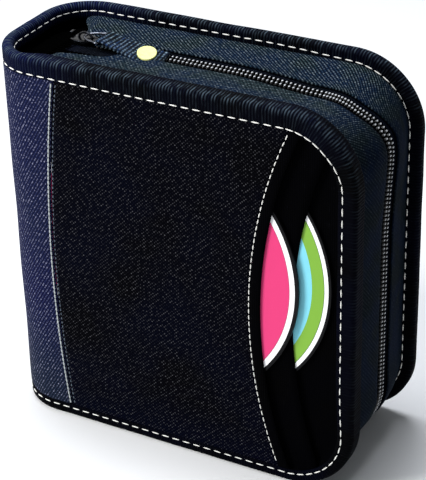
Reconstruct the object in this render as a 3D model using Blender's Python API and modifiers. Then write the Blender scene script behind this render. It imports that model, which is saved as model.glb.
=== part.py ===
# A zip-round cloth wallet for discs, standing on its lower edge.
# X runs from the spine to the fore-edge, Y from the front cover to the rear one, and Z is up.
# A depth is measured from the outer face of a cover or of the spine inwards, and an inset from the covers' edge.

import math

import bmesh
import bpy
from mathutils import Matrix, Vector

MM = 0.001

# Overall size
CASE_WIDTH = 162 * MM
CASE_HEIGHT = 165 * MM
CASE_DEPTH = 66 * MM
CORNER_RADIUS = 30 * MM
SPINE_RADIUS = 22 * MM
FOLD_FROM_SPINE = 16 * MM
CLEARANCE = 0.3 * MM

# Cloth, board and binding tape
CLOTH = 0.6 * MM
LINING = 0.5 * MM
FRONT_BOARD = 1.4 * MM
REAR_BOARD = 2.0 * MM
SPINE_BOARD = 1.4 * MM
TAPE_LIP = 0.5 * MM
TAPE_WIDTH = 5.8 * MM
TAPE_ROUNDING = 1.1 * MM
PUFF_WIDTH = 2.0 * MM
REAR_PUFF = 0.4 * MM

# Discs in the front pockets
DISC_RADIUS = 60 * MM
DISC_HOLE_RADIUS = 7.5 * MM
DISC_THICKNESS = 1.2 * MM
DISC_EASE = 0.4 * MM
DISC_FROM_EDGE = 84.0 * MM
FIRST_DISC_Z = 88.7 * MM
DISC_STAGGER = 12.8 * MM
DISC_RISE = 2.6 * MM

# Seam between the spine cloth and the front panel, and the curved pocket mouths
SEAM_WAIST_X = 27.2 * MM
SEAM_WAIST_Z = 73.0 * MM
SEAM_RADIUS = 563.0 * MM
MOUTH_FROM_EDGE = 44.8 * MM
MOUTH_WAIST_Z = 75.0 * MM
MOUTH_RADIUS = 198.0 * MM
MOUTH_BAND = 4.7 * MM

# Gusset and zip
GUSSET_CLOTH = 0.7 * MM
GUSSET_ROOT_INSET = 7.0 * MM
GUSSET_ZIP_INSET = 2.8 * MM
GUSSET_FROM_SPINE = 28 * MM
ZIP_FROM_FRONT = 36.5 * MM
ZIP_OPENING = 5.0 * MM
ZIP_TAPE = 0.5 * MM
ZIP_TAPE_LAP = 4.5 * MM
ZIP_FROM_SPINE = 18 * MM
ROW_WIDTH = 2.4 * MM
ROW_THICKNESS = 2.1 * MM
ROW_SLOT = 0.9 * MM
TOOTH_PITCH = 4.0 * MM
STOP_LENGTH = 1.3 * MM

# Slider and its pull
SLIDER_X = 26 * MM
SLIDER_LENGTH = 11 * MM
SLIDER_WALL = 0.9 * MM
SLIDER_FLANGE = 0.8 * MM
SLIDER_WEB = 0.44 * MM
SLIDER_SHOULDER = 0.35
SLIDER_NOSE_ANGLE = 60
SLIDER_TAIL_ANGLE = 110
BRIDGE_SPAN = 6.4 * MM
BRIDGE_WIRE = 1.0 * MM
RING_WIRE = 1.0 * MM
RING_LENGTH = 9.0 * MM
RING_LIFT = 0.55 * MM
RING_NARROW = 4.4 * MM
TAB_LENGTH = 32.6 * MM
TAB_WIDTH = 11.0 * MM
TAB_THICKNESS = 2.2 * MM
TAB_LOOP_RADIUS = 1.7 * MM
TAB_LOOP_EASE = 0.35 * MM
DOT_RADIUS = 4.2 * MM
DOT_THICKNESS = 0.5 * MM
DOT_FROM_RING = 19.6 * MM

# Sleeve pages
PAGE_THICKNESS = 0.9 * MM
PAGE_PITCH = 2.0 * MM
PAGE_INSET = 10 * MM
PAGE_MARGIN = 2.5 * MM
PAGE_STRIP_MARGIN = 20 * MM
PAGE_STRIP = 0.6 * MM
PAGE_GATHER = 8 * MM

FRONT = -1
REAR = 1

# Depths of the front cover's layers, from the outer pocket in to the lining
RIM_DEPTH = TAPE_LIP + CLEARANCE
FIRST_DISC_DEPTH = CLOTH + DISC_EASE
INNER_POCKET_DEPTH = FIRST_DISC_DEPTH + DISC_THICKNESS + CLEARANCE
SECOND_DISC_DEPTH = INNER_POCKET_DEPTH + LINING + CLEARANCE
BASE_DEPTH = SECOND_DISC_DEPTH + DISC_THICKNESS + CLEARANCE
FRONT_BOARD_DEPTH = BASE_DEPTH + LINING + CLEARANCE
FRONT_LINING_DEPTH = FRONT_BOARD_DEPTH + FRONT_BOARD + CLEARANCE
FRONT_THICKNESS = FRONT_LINING_DEPTH + LINING + CLEARANCE + TAPE_LIP
INNER_RIM_DEPTH = RIM_DEPTH + CLOTH + CLEARANCE
BASE_RIM_DEPTH = INNER_RIM_DEPTH + LINING + CLEARANCE

# Depths of the rear cover's and the spine's layers
REAR_BOARD_DEPTH = RIM_DEPTH + CLOTH + CLEARANCE
REAR_LINING_DEPTH = REAR_BOARD_DEPTH + REAR_BOARD + CLEARANCE
REAR_THICKNESS = REAR_LINING_DEPTH + LINING + CLEARANCE + TAPE_LIP
SPINE_BOARD_DEPTH = RIM_DEPTH + CLOTH + CLEARANCE
SPINE_LINING_DEPTH = SPINE_BOARD_DEPTH + SPINE_BOARD + CLEARANCE
SPINE_THICKNESS = SPINE_LINING_DEPTH + LINING + CLEARANCE + TAPE_LIP

# The covers fold on a line on their outer face, part of the way round the spine's curve
FOLD_ANGLE = math.acos((SPINE_RADIUS - FOLD_FROM_SPINE) / SPINE_RADIUS)
FOLD_DEPTH = SPINE_RADIUS * (1 - math.sin(FOLD_ANGLE))
INNER_START = FOLD_FROM_SPINE + SPINE_THICKNESS * math.cos(FOLD_ANGLE) + 2 * CLEARANCE

ZIP_INSET = GUSSET_ZIP_INSET + GUSSET_CLOTH + CLEARANCE + ROW_THICKNESS / 2 - ZIP_TAPE
ROW_OFFSET = (ROW_SLOT + ROW_WIDTH) / 2
LAYER_INSET = TAPE_ROUNDING + TAPE_LIP / 2 + CLEARANCE
BASE_SPARE = 2 * MM
FIRST_DISC_X = CASE_WIDTH - DISC_FROM_EDGE
MOUTH_WAIST_X = CASE_WIDTH - MOUTH_FROM_EDGE
CORNER_STEPS = 8

# The pages fill the room between the covers' linings, less a margin at each side
PAGE_ROOM = CASE_DEPTH - FRONT_THICKNESS - REAR_THICKNESS - 2 * PAGE_MARGIN
PAGE_COUNT = int((PAGE_ROOM - PAGE_THICKNESS) / PAGE_PITCH) + 1
PAGE_STRIP_WIDTH = CASE_DEPTH - 2 * PAGE_STRIP_MARGIN


def clear_scene():
    for old in list(bpy.data.objects):
        bpy.data.objects.remove(old)


def material(name, colour, roughness, metallic=0.0):
    made = bpy.data.materials.new(name)
    made.use_nodes = True
    shader = made.node_tree.nodes["Principled BSDF"]
    shader.inputs["Base Color"].default_value = (*colour, 1.0)
    shader.inputs["Roughness"].default_value = roughness
    shader.inputs["Metallic"].default_value = metallic
    made.diffuse_color = (*colour, 1.0)
    return made


def world_x(from_spine):
    return from_spine - CASE_WIDTH / 2


def world_y(side, depth):
    return side * (CASE_DEPTH / 2 - depth)


def link(name, mesh, finish, collection):
    made = bpy.data.objects.new(name, mesh)
    mesh.materials.clear()
    mesh.materials.append(finish)
    collection.objects.link(made)
    return made


def mesh_from_curve(curve_object, smooth=False):
    """The evaluated curve as a mesh with welded caps and its faces pointing out."""
    depsgraph = bpy.context.evaluated_depsgraph_get()
    mesh = bpy.data.meshes.new_from_object(curve_object.evaluated_get(depsgraph))
    mesh.transform(curve_object.matrix_world)
    work = bmesh.new()
    work.from_mesh(mesh)
    bmesh.ops.remove_doubles(work, verts=work.verts, dist=0.00001)
    bmesh.ops.recalc_face_normals(work, faces=work.faces)
    work.to_mesh(mesh)
    work.free()
    if smooth:
        mesh.shade_smooth()
        mesh.set_sharp_from_angle(angle=math.radians(40))
    return mesh


def poly_curve(splines, closed=True, filled=False):
    """A flat curve object through lists of (x, y) points."""
    data = bpy.data.curves.new("outline", "CURVE")
    data.dimensions = "2D"
    data.fill_mode = "BOTH" if filled else "NONE"
    for points in splines:
        spline = data.splines.new("POLY")
        spline.points.add(len(points) - 1)
        for point, (x, y) in zip(spline.points, points):
            point.co = (x, y, 0, 1)
        spline.use_cyclic_u = closed
    made = bpy.data.objects.new("outline", data)
    bpy.context.scene.collection.objects.link(made)
    return made


def extrude_outline(splines, thickness, placed, smooth=False):
    """A flat outline given a thickness, half to each side of its plane, and put in place."""
    outline = poly_curve(splines, filled=True)
    outline.data.extrude = thickness / 2
    outline.matrix_world = placed
    bpy.context.view_layer.update()
    mesh = mesh_from_curve(outline, smooth)
    bpy.data.objects.remove(outline)
    return mesh


def upright(y):
    """Stands a flat outline up, so that its X and Y become X and Z at the given Y."""
    return Matrix.Translation((0, y, 0)) @ Matrix.Rotation(math.radians(90), 4, "X")


def sweep(path, section, placed, radii=None):
    """A closed section carried along an open flat path, with both ends filled."""
    rail = poly_curve([path], closed=False)
    profile = poly_curve([section])
    rail.data.bevel_mode = "OBJECT"
    rail.data.bevel_object = profile
    rail.data.use_fill_caps = True
    if radii:
        for point, radius in zip(rail.data.splines[0].points, radii):
            point.radius = radius
    rail.matrix_world = placed
    bpy.context.view_layer.update()
    mesh = mesh_from_curve(rail, smooth=True)
    bpy.data.objects.remove(rail)
    bpy.data.objects.remove(profile)
    return mesh


def quarter_turn(centre, radius, start, end, steps):
    """Points of an arc between two angles in degrees, both ends included."""
    points = []
    for step in range(steps + 1):
        angle = math.radians(start + (end - start) * step / steps)
        points.append((centre[0] + radius * math.cos(angle), centre[1] + radius * math.sin(angle)))
    return points


def cover_path(from_spine, inset=0.0):
    """The cover's edge: along the top, down the fore-edge and back along the bottom."""
    radius = CORNER_RADIUS - inset
    right = world_x(CASE_WIDTH - CORNER_RADIUS)
    start = world_x(from_spine)
    points = [(start, CASE_HEIGHT - inset)]
    points += quarter_turn((right, CASE_HEIGHT - CORNER_RADIUS), radius, 90, 0, CORNER_STEPS)
    points += quarter_turn((right, CORNER_RADIUS), radius, 0, -90, CORNER_STEPS)
    points.append((start, inset))
    return points


def evenly(points, step):
    """The same route cut into equal steps near the one asked for."""
    lengths = [math.dist(a, b) for a, b in zip(points, points[1:])]
    count = max(2, round(sum(lengths) / step))
    spacing = sum(lengths) / count
    route = [points[0]]
    passed = 0.0
    for (a, b), length in zip(zip(points, points[1:]), lengths):
        while len(route) < count and spacing * len(route) <= passed + length:
            share = (spacing * len(route) - passed) / length
            route.append((a[0] + (b[0] - a[0]) * share, a[1] + (b[1] - a[1]) * share))
        passed += length
    route.append(points[-1])
    return route


def bowed(z, waist_x, waist_z, radius):
    """The distance from the spine of an upright arc that bows towards the spine."""
    return waist_x + radius - math.sqrt(radius**2 - (z - waist_z) ** 2)


def seam_x(z):
    return bowed(z, SEAM_WAIST_X, SEAM_WAIST_Z, SEAM_RADIUS)


def mouth_x(z):
    return bowed(z, MOUTH_WAIST_X, MOUTH_WAIST_Z, MOUTH_RADIUS)


def outer_mouth_x(z):
    return mouth_x(z) + MOUTH_BAND


def inner_mouth_x(z):
    return outer_mouth_x(z) + DISC_STAGGER


def corner_drop(z):
    """How far a height lies past the nearer corner's centre."""
    return max(CORNER_RADIUS - z, z - (CASE_HEIGHT - CORNER_RADIUS), 0.0)


def edge_x(z, inset):
    """The distance from the spine of the cover's edge at a height, less an inset."""
    radius = CORNER_RADIUS - inset
    return CASE_WIDTH - CORNER_RADIUS + math.sqrt(max(radius**2 - corner_drop(z) ** 2, 0.0))


def edge_distance(x, z):
    past = x - (CASE_WIDTH - CORNER_RADIUS)
    if past > 0 and corner_drop(z) > 0:
        return CORNER_RADIUS - math.hypot(past, corner_drop(z))
    return min(z, CASE_HEIGHT - z, CASE_WIDTH - x)


def ease(share):
    share = min(max(share, 0.0), 1.0)
    return share * share * (3 - 2 * share)


def puff(distance):
    """0 under the binding tape and 1 where a layer has left it."""
    return ease((distance - TAPE_WIDTH) / PUFF_WIDTH)


def fold_x(z):
    """Where a cover's outer cloth starts at a height: it follows the fold's radius under the binding tape."""
    sunk = RIM_DEPTH * (1 - puff(min(z, CASE_HEIGHT - z)))
    return FOLD_FROM_SPINE + CLEARANCE / 2 + sunk * math.cos(FOLD_ANGLE)


def bend_depth(x):
    """How far the outer face has turned in at the spine's curve."""
    short = max(SPINE_RADIUS - x, 0.0)
    return SPINE_RADIUS - math.sqrt(SPINE_RADIUS**2 - short**2)


def row_heights(inset, middle_rows):
    """Heights of a layer's rows: close at its rims and its round corners, wide between them."""
    low = [inset, TAPE_WIDTH, TAPE_WIDTH + PUFF_WIDTH / 2, TAPE_WIDTH + PUFF_WIDTH]
    low += [low[-1] + (CORNER_RADIUS - low[-1]) * share for share in (0.3, 0.65, 1.0)]
    high = [CASE_HEIGHT - z for z in reversed(low)]
    span = high[0] - low[-1]
    middle = [low[-1] + span * step / middle_rows for step in range(1, middle_rows)]
    return low + middle + high


def between(left, right, shares):
    """Upright curves from one edge of a layer to the other, each a distance from the spine by height."""
    return [lambda z, share=share: left(z) + (right(z) - left(z)) * share for share in shares]


def layer(name, side, rows, columns, depth, thickness, finish, collection):
    """A sewn layer: a grid on upright curves, bent to its depth and thickened inwards."""
    mesh = bpy.data.meshes.new(name)
    work = bmesh.new()
    bmesh.ops.create_grid(work, x_segments=len(columns) - 1, y_segments=len(rows) - 1, size=1)
    for vertex in work.verts:
        column = round((vertex.co.x + 1) / 2 * (len(columns) - 1))
        z = rows[round((vertex.co.y + 1) / 2 * (len(rows) - 1))]
        x = columns[column](z)
        vertex.co = (world_x(x), world_y(side, depth(x, z)), z)
    if side == REAR:
        bmesh.ops.reverse_faces(work, faces=work.faces)
    work.to_mesh(mesh)
    work.free()
    mesh.shade_smooth()
    made = link(name, mesh, finish, collection)
    wall = made.modifiers.new("wall", "SOLIDIFY")
    wall.thickness = thickness
    wall.offset = -1
    return made


def plate(name, side, depth, thickness, inset, from_spine, finish, collection):
    """A flat layer with the covers' round fore-edge corners."""
    outline = cover_path(from_spine, inset)
    middle = world_y(side, depth + thickness / 2)
    return link(name, extrude_outline([outline], thickness, upright(middle)), finish, collection)


def binding_profile(thickness):
    """A tape folded over an edge, rounded at both folds, as (inset, depth) points."""
    half = TAPE_ROUNDING / 2
    outer = [(TAPE_WIDTH, 0), (TAPE_ROUNDING, 0), (half * 0.6, half * 0.6), (0, TAPE_ROUNDING)]
    outer += [(inset, thickness - depth) for inset, depth in reversed(outer)]
    inner = [(TAPE_WIDTH, TAPE_LIP), (TAPE_ROUNDING + TAPE_LIP / 2, TAPE_LIP)]
    inner += [(TAPE_LIP, TAPE_ROUNDING + TAPE_LIP / 2)]
    inner += [(inset, thickness - depth) for inset, depth in reversed(inner)]
    return outer + list(reversed(inner))


def binding(name, side, thickness, finish, collection):
    section = [(inset, -world_y(side, depth)) for inset, depth in binding_profile(thickness)]
    mesh = sweep(cover_path(INNER_START), section, upright(0))
    return link(name, mesh, finish, collection)


def gusset(name, side, root_depth, zip_depth, finish, collection):
    """The cloth wall between a cover and the zip, which swells outwards."""
    steps = 6
    outer = []
    for step in range(steps + 1):
        share = step / steps
        depth = root_depth + (zip_depth - ZIP_OPENING - root_depth) * share
        swell = math.sin(share * math.pi / 2)
        inset = GUSSET_ROOT_INSET + (GUSSET_ZIP_INSET - GUSSET_ROOT_INSET) * swell
        outer.append((inset, depth))
    inner = [(inset + GUSSET_CLOTH, depth) for inset, depth in reversed(outer)]
    section = [(inset, -world_y(side, depth)) for inset, depth in outer + inner]
    mesh = sweep(cover_path(GUSSET_FROM_SPINE), section, upright(0))
    return link(name, mesh, finish, collection)


def zip_tape(name, side, zip_depth, finish, collection):
    near = zip_depth - ROW_SLOT / 2 - ROW_WIDTH - CLEARANCE
    far = zip_depth - ZIP_OPENING - ZIP_TAPE_LAP
    low = ZIP_INSET - ZIP_TAPE / 2
    high = ZIP_INSET + ZIP_TAPE / 2
    corners = [(low, far), (low, near), (high, near), (high, far)]
    section = [(inset, -world_y(side, depth)) for inset, depth in corners]
    mesh = sweep(cover_path(ZIP_FROM_SPINE), section, upright(0))
    return link(name, mesh, finish, collection)


def zip_row(name, side, zip_depth, top_start, finish, collection):
    """A row of teeth as one strip that swells at each tooth and narrows between two."""
    route = cover_path(ZIP_FROM_SPINE + STOP_LENGTH + CLEARANCE, ZIP_INSET)
    route[0] = (world_x(top_start), route[0][1])
    path = evenly(route, TOOTH_PITCH / 2)
    radii = [1.0 if number % 2 else 0.66 for number in range(len(path))]
    across = ROW_THICKNESS / 2
    along = ROW_WIDTH / 2
    section = [(-across, -along), (across, -along), (across, along), (-across, along)]
    middle = world_y(side, zip_depth - ROW_OFFSET)
    return link(name, sweep(path, section, upright(middle), radii), finish, collection)


def box(name, centre, size, rounding, finish, collection):
    mesh = bpy.data.meshes.new(name)
    work = bmesh.new()
    bmesh.ops.create_cube(work, size=1, matrix=Matrix.Diagonal((*size, 1)))
    work.to_mesh(mesh)
    work.free()
    made = link(name, mesh, finish, collection)
    made.location = centre
    edges = made.modifiers.new("rounding", "BEVEL")
    edges.width = rounding
    edges.segments = 2
    return made


def zip_stop(name, side, zip_depth, z, finish, collection):
    """The crimped stop at an end of a row."""
    centre = (world_x(ZIP_FROM_SPINE + STOP_LENGTH / 2), world_y(side, zip_depth - ROW_OFFSET), z)
    size = (STOP_LENGTH, ROW_WIDTH, ROW_THICKNESS + CLEARANCE)
    return box(name, centre, size, STOP_LENGTH / 5, finish, collection)


def disc(name, x, z, depth, finish, collection):
    centre = (world_x(x), z)
    rim = quarter_turn(centre, DISC_RADIUS, 0, 360, 72)[:-1]
    hole = quarter_turn(centre, DISC_HOLE_RADIUS, 0, 360, 24)[:-1]
    middle = world_y(FRONT, depth + DISC_THICKNESS / 2)
    mesh = extrude_outline([rim, hole], DISC_THICKNESS, upright(middle), smooth=True)
    return link(name, mesh, finish, collection)


def spine_route(depth, steps):
    """The spine's curve seen from above at a depth below its outer face, from front fold to rear fold."""
    radius = SPINE_RADIUS - depth
    centre_x = world_x(SPINE_RADIUS)
    turn = math.degrees(FOLD_ANGLE)
    front = (centre_x, world_y(FRONT, SPINE_RADIUS))
    rear = (centre_x, world_y(REAR, SPINE_RADIUS))
    points = quarter_turn(front, radius, 180 + turn, 180, steps)
    points += quarter_turn(rear, radius, 180, 180 - turn, steps)
    return points


def spine_layer(name, depth, rim_depth, thickness, rows, finish, collection):
    """A layer of the spine: a grid wrapped round its curve, thickened inwards."""
    steps = 6
    columns = 2 * steps + 2
    mesh = bpy.data.meshes.new(name)
    work = bmesh.new()
    bmesh.ops.create_grid(work, x_segments=columns - 1, y_segments=len(rows) - 1, size=1)
    for vertex in work.verts:
        column = round((vertex.co.x + 1) / 2 * (columns - 1))
        row = round((vertex.co.y + 1) / 2 * (len(rows) - 1))
        z = rows[row]
        sunk = rim_depth + (depth - rim_depth) * puff(min(z, CASE_HEIGHT - z))
        x, y = spine_route(sunk, steps)[column]
        vertex.co = (x, y, z)
    bmesh.ops.reverse_faces(work, faces=work.faces)
    work.to_mesh(mesh)
    work.free()
    mesh.shade_smooth()
    made = link(name, mesh, finish, collection)
    wall = made.modifiers.new("wall", "SOLIDIFY")
    wall.thickness = thickness
    wall.offset = -1
    return made


def spine_binding(name, top, finish, collection):
    section = [(depth, z) for z, depth in binding_profile(SPINE_THICKNESS)]
    if top:
        section = [(depth, CASE_HEIGHT - z) for depth, z in section]
    mesh = sweep(spine_route(0.0, CORNER_STEPS), section, Matrix.Identity(4))
    return link(name, mesh, finish, collection)


def cut_with(target, cutter, operation, cutters):
    """Joins or trims an object with another, which is kept as a hidden guide."""
    for collection in list(cutter.users_collection):
        collection.objects.unlink(cutter)
    cutters.objects.link(cutter)
    cutter.hide_render = True
    cutter.display_type = "WIRE"
    made = target.modifiers.new(operation.lower(), "BOOLEAN")
    made.operation = operation
    made.object = cutter
    made.solver = "EXACT"


def slider(name, finish, collection, cutters):
    """The slider: two plates joined by a web, with lips that leave a slot for each tape, and a bridge on top."""
    gap = ROW_THICKNESS / 2 + CLEARANCE
    top = gap + SLIDER_WALL
    lip_out = ROW_OFFSET + ROW_WIDTH / 2 + CLEARANCE + SLIDER_FLANGE
    lip_in = lip_out - SLIDER_FLANGE
    slot = ZIP_TAPE / 2 + CLEARANCE
    web = SLIDER_WEB / 2
    quarter = [(web, 0), (web, gap), (lip_in, gap), (lip_in, slot), (lip_out, slot), (lip_out, top)]
    right = [(y, -z) for y, z in reversed(quarter[1:])] + quarter[1:]
    profile = right + [(-y, z) for y, z in reversed(right)]
    chain_z = CASE_HEIGHT - ZIP_INSET
    centre_y = world_y(FRONT, ZIP_FROM_FRONT)
    centre_x = world_x(SLIDER_X)
    across = Matrix.Translation((centre_x, centre_y, chain_z))
    across = across @ Matrix.Rotation(math.radians(90), 4, "Z") @ Matrix.Rotation(math.radians(90), 4, "X")
    body = link(name, extrude_outline([profile], SLIDER_LENGTH, across), finish, collection)

    half = SLIDER_LENGTH / 2
    side = lip_out + CLEARANCE
    nose = side / 2
    plan = [(half * SLIDER_SHOULDER, -side)]
    plan += quarter_turn((half - nose, 0), nose + CLEARANCE, -SLIDER_NOSE_ANGLE, SLIDER_NOSE_ANGLE, 6)
    plan.append((half * SLIDER_SHOULDER, side))
    plan += quarter_turn((side - half, 0), side, SLIDER_TAIL_ANGLE, 360 - SLIDER_TAIL_ANGLE, 8)
    placed = Matrix.Translation((centre_x, centre_y, chain_z))
    trim = link("slider_trim", extrude_outline([plan], CASE_DEPTH, placed), finish, cutters)
    cut_with(body, trim, "INTERSECT", cutters)

    rise = RING_LIFT + RING_WIRE + CLEARANCE + BRIDGE_WIRE / 2
    foot = chain_z + top - BRIDGE_WIRE / 3
    crown = chain_z + top + rise
    arch = [(centre_x - BRIDGE_SPAN / 2, foot)]
    arch += quarter_turn((centre_x - BRIDGE_SPAN / 4, crown - BRIDGE_SPAN / 4), BRIDGE_SPAN / 4, 180, 90, 4)
    arch += quarter_turn((centre_x + BRIDGE_SPAN / 4, crown - BRIDGE_SPAN / 4), BRIDGE_SPAN / 4, 90, 0, 4)
    arch.append((centre_x + BRIDGE_SPAN / 2, foot))
    bridge = link("slider_bridge", round_wire(arch, BRIDGE_WIRE, upright(centre_y), False), finish, cutters)
    cut_with(body, bridge, "UNION", cutters)
    return body


def round_wire(points, diameter, placed, closed):
    """A wire of round section along a flat route."""
    wire = poly_curve([points], closed=closed)
    wire.data.dimensions = "3D"
    wire.data.fill_mode = "FULL"
    wire.data.bevel_depth = diameter / 2
    wire.data.bevel_resolution = 1
    wire.data.use_fill_caps = not closed
    wire.matrix_world = placed
    bpy.context.view_layer.update()
    mesh = mesh_from_curve(wire, smooth=True)
    bpy.data.objects.remove(wire)
    return mesh


def ring_height():
    plate_top = CASE_HEIGHT - ZIP_INSET + ROW_THICKNESS / 2 + CLEARANCE + SLIDER_WALL
    return plate_top + RING_LIFT + RING_WIRE / 2


def pull_ring(name, finish, collection):
    """A three-sided wire ring, narrow under the bridge and wide in the webbing's loop."""
    x = world_x(SLIDER_X)
    y = world_y(FRONT, ZIP_FROM_FRONT)
    narrow = RING_NARROW / 2
    wide = TAB_WIDTH / 2 + RING_WIRE / 2 + CLEARANCE
    bend = RING_WIRE * 0.9
    points = quarter_turn((x + bend, y + narrow - bend), bend, 180, 105, 2)
    points += quarter_turn((x + RING_LENGTH - bend, y + wide - bend), bend, 105, 0, 3)
    points += quarter_turn((x + RING_LENGTH - bend, y - wide + bend), bend, 0, -105, 3)
    points += quarter_turn((x + bend, y - narrow + bend), bend, -105, -180, 2)
    placed = Matrix.Translation((0, 0, ring_height()))
    return link(name, round_wire(points, RING_WIRE, placed, True), finish, collection)


def pull_tab(name, finish, collection):
    """Webbing folded round the ring's wide bar, its two layers sewn together."""
    x = world_x(SLIDER_X) + RING_LENGTH
    z = ring_height()
    floor = z - TAB_LOOP_RADIUS
    end = x - TAB_LOOP_RADIUS + TAB_LENGTH
    rounding = TAB_THICKNESS / 4
    outline = quarter_turn((x, z), TAB_LOOP_RADIUS, 50, 270, 8)
    outline += quarter_turn((end - rounding, floor + rounding), rounding, -90, 0, 2)
    outline += quarter_turn((end - rounding, floor + TAB_THICKNESS - rounding), rounding, 0, 90, 2)
    outline.append((x + 3 * TAB_LOOP_RADIUS, floor + TAB_THICKNESS))
    hole = quarter_turn((x, z), RING_WIRE / 2 + TAB_LOOP_EASE, 0, 360, 10)[:-1]
    placed = upright(world_y(FRONT, ZIP_FROM_FRONT))
    return link(name, extrude_outline([outline, hole], TAB_WIDTH, placed), finish, collection)


def pull_dot(name, finish, collection):
    mesh = bpy.data.meshes.new(name)
    work = bmesh.new()
    bmesh.ops.create_cone(work, cap_ends=True, segments=28, radius1=DOT_RADIUS, radius2=DOT_RADIUS,
                          depth=DOT_THICKNESS)
    work.to_mesh(mesh)
    work.free()
    made = link(name, mesh, finish, collection)
    x = world_x(SLIDER_X) + RING_LENGTH + DOT_FROM_RING
    z = ring_height() - TAB_LOOP_RADIUS + TAB_THICKNESS + CLEARANCE + DOT_THICKNESS / 2
    made.location = (x, world_y(FRONT, ZIP_FROM_FRONT), z)
    rim = made.modifiers.new("rounding", "BEVEL")
    rim.width = DOT_THICKNESS / 4
    rim.segments = 1
    return made


def page_middle():
    """The Y of the pages' middle, halfway between the two covers' linings."""
    return (world_y(FRONT, FRONT_THICKNESS) + world_y(REAR, REAR_THICKNESS)) / 2


def page_strip(name, finish, collection):
    """The band of cloth sewn down the inside of the spine, which holds the pages."""
    length = CASE_HEIGHT - 2 * (PAGE_INSET + CLEARANCE)
    x = world_x(SPINE_LINING_DEPTH + LINING + CLEARANCE + PAGE_STRIP / 2)
    centre = (x, 0.0, CASE_HEIGHT / 2)
    size = (PAGE_STRIP, PAGE_STRIP_WIDTH, length)
    return box(name, centre, size, PAGE_STRIP / 5, finish, collection)


def sleeve_pages(name, finish, collection, cutters):
    """The stack of sleeves, gathered at the spine strip and open at the fore-edge."""
    root_x = world_x(SPINE_LINING_DEPTH + LINING + 2 * CLEARANCE + PAGE_STRIP)
    leaf_x = root_x + PAGE_GATHER
    end_x = world_x(CASE_WIDTH - PAGE_INSET)
    half = ((PAGE_COUNT - 1) * PAGE_PITCH + PAGE_THICKNESS) / 2
    outline = [(root_x, -PAGE_STRIP_WIDTH / 2)]
    for number in range(PAGE_COUNT):
        low = page_middle() - half + number * PAGE_PITCH
        high = low + PAGE_THICKNESS
        outline += [(leaf_x, low), (end_x, low), (end_x, high), (leaf_x, high)]
    outline.append((root_x, PAGE_STRIP_WIDTH / 2))
    middle = Matrix.Translation((0, 0, CASE_HEIGHT / 2))
    pages = link(name, extrude_outline([outline], CASE_HEIGHT, middle), finish, collection)
    shape = cover_path(FOLD_FROM_SPINE, PAGE_INSET)
    shape[0] = (world_x(0), shape[0][1])
    shape[-1] = (world_x(0), shape[-1][1])
    trim = link("page_trim", extrude_outline([shape], 2 * CASE_DEPTH, upright(0)), finish, cutters)
    cut_with(pages, trim, "INTERSECT", cutters)
    return pages


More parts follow.
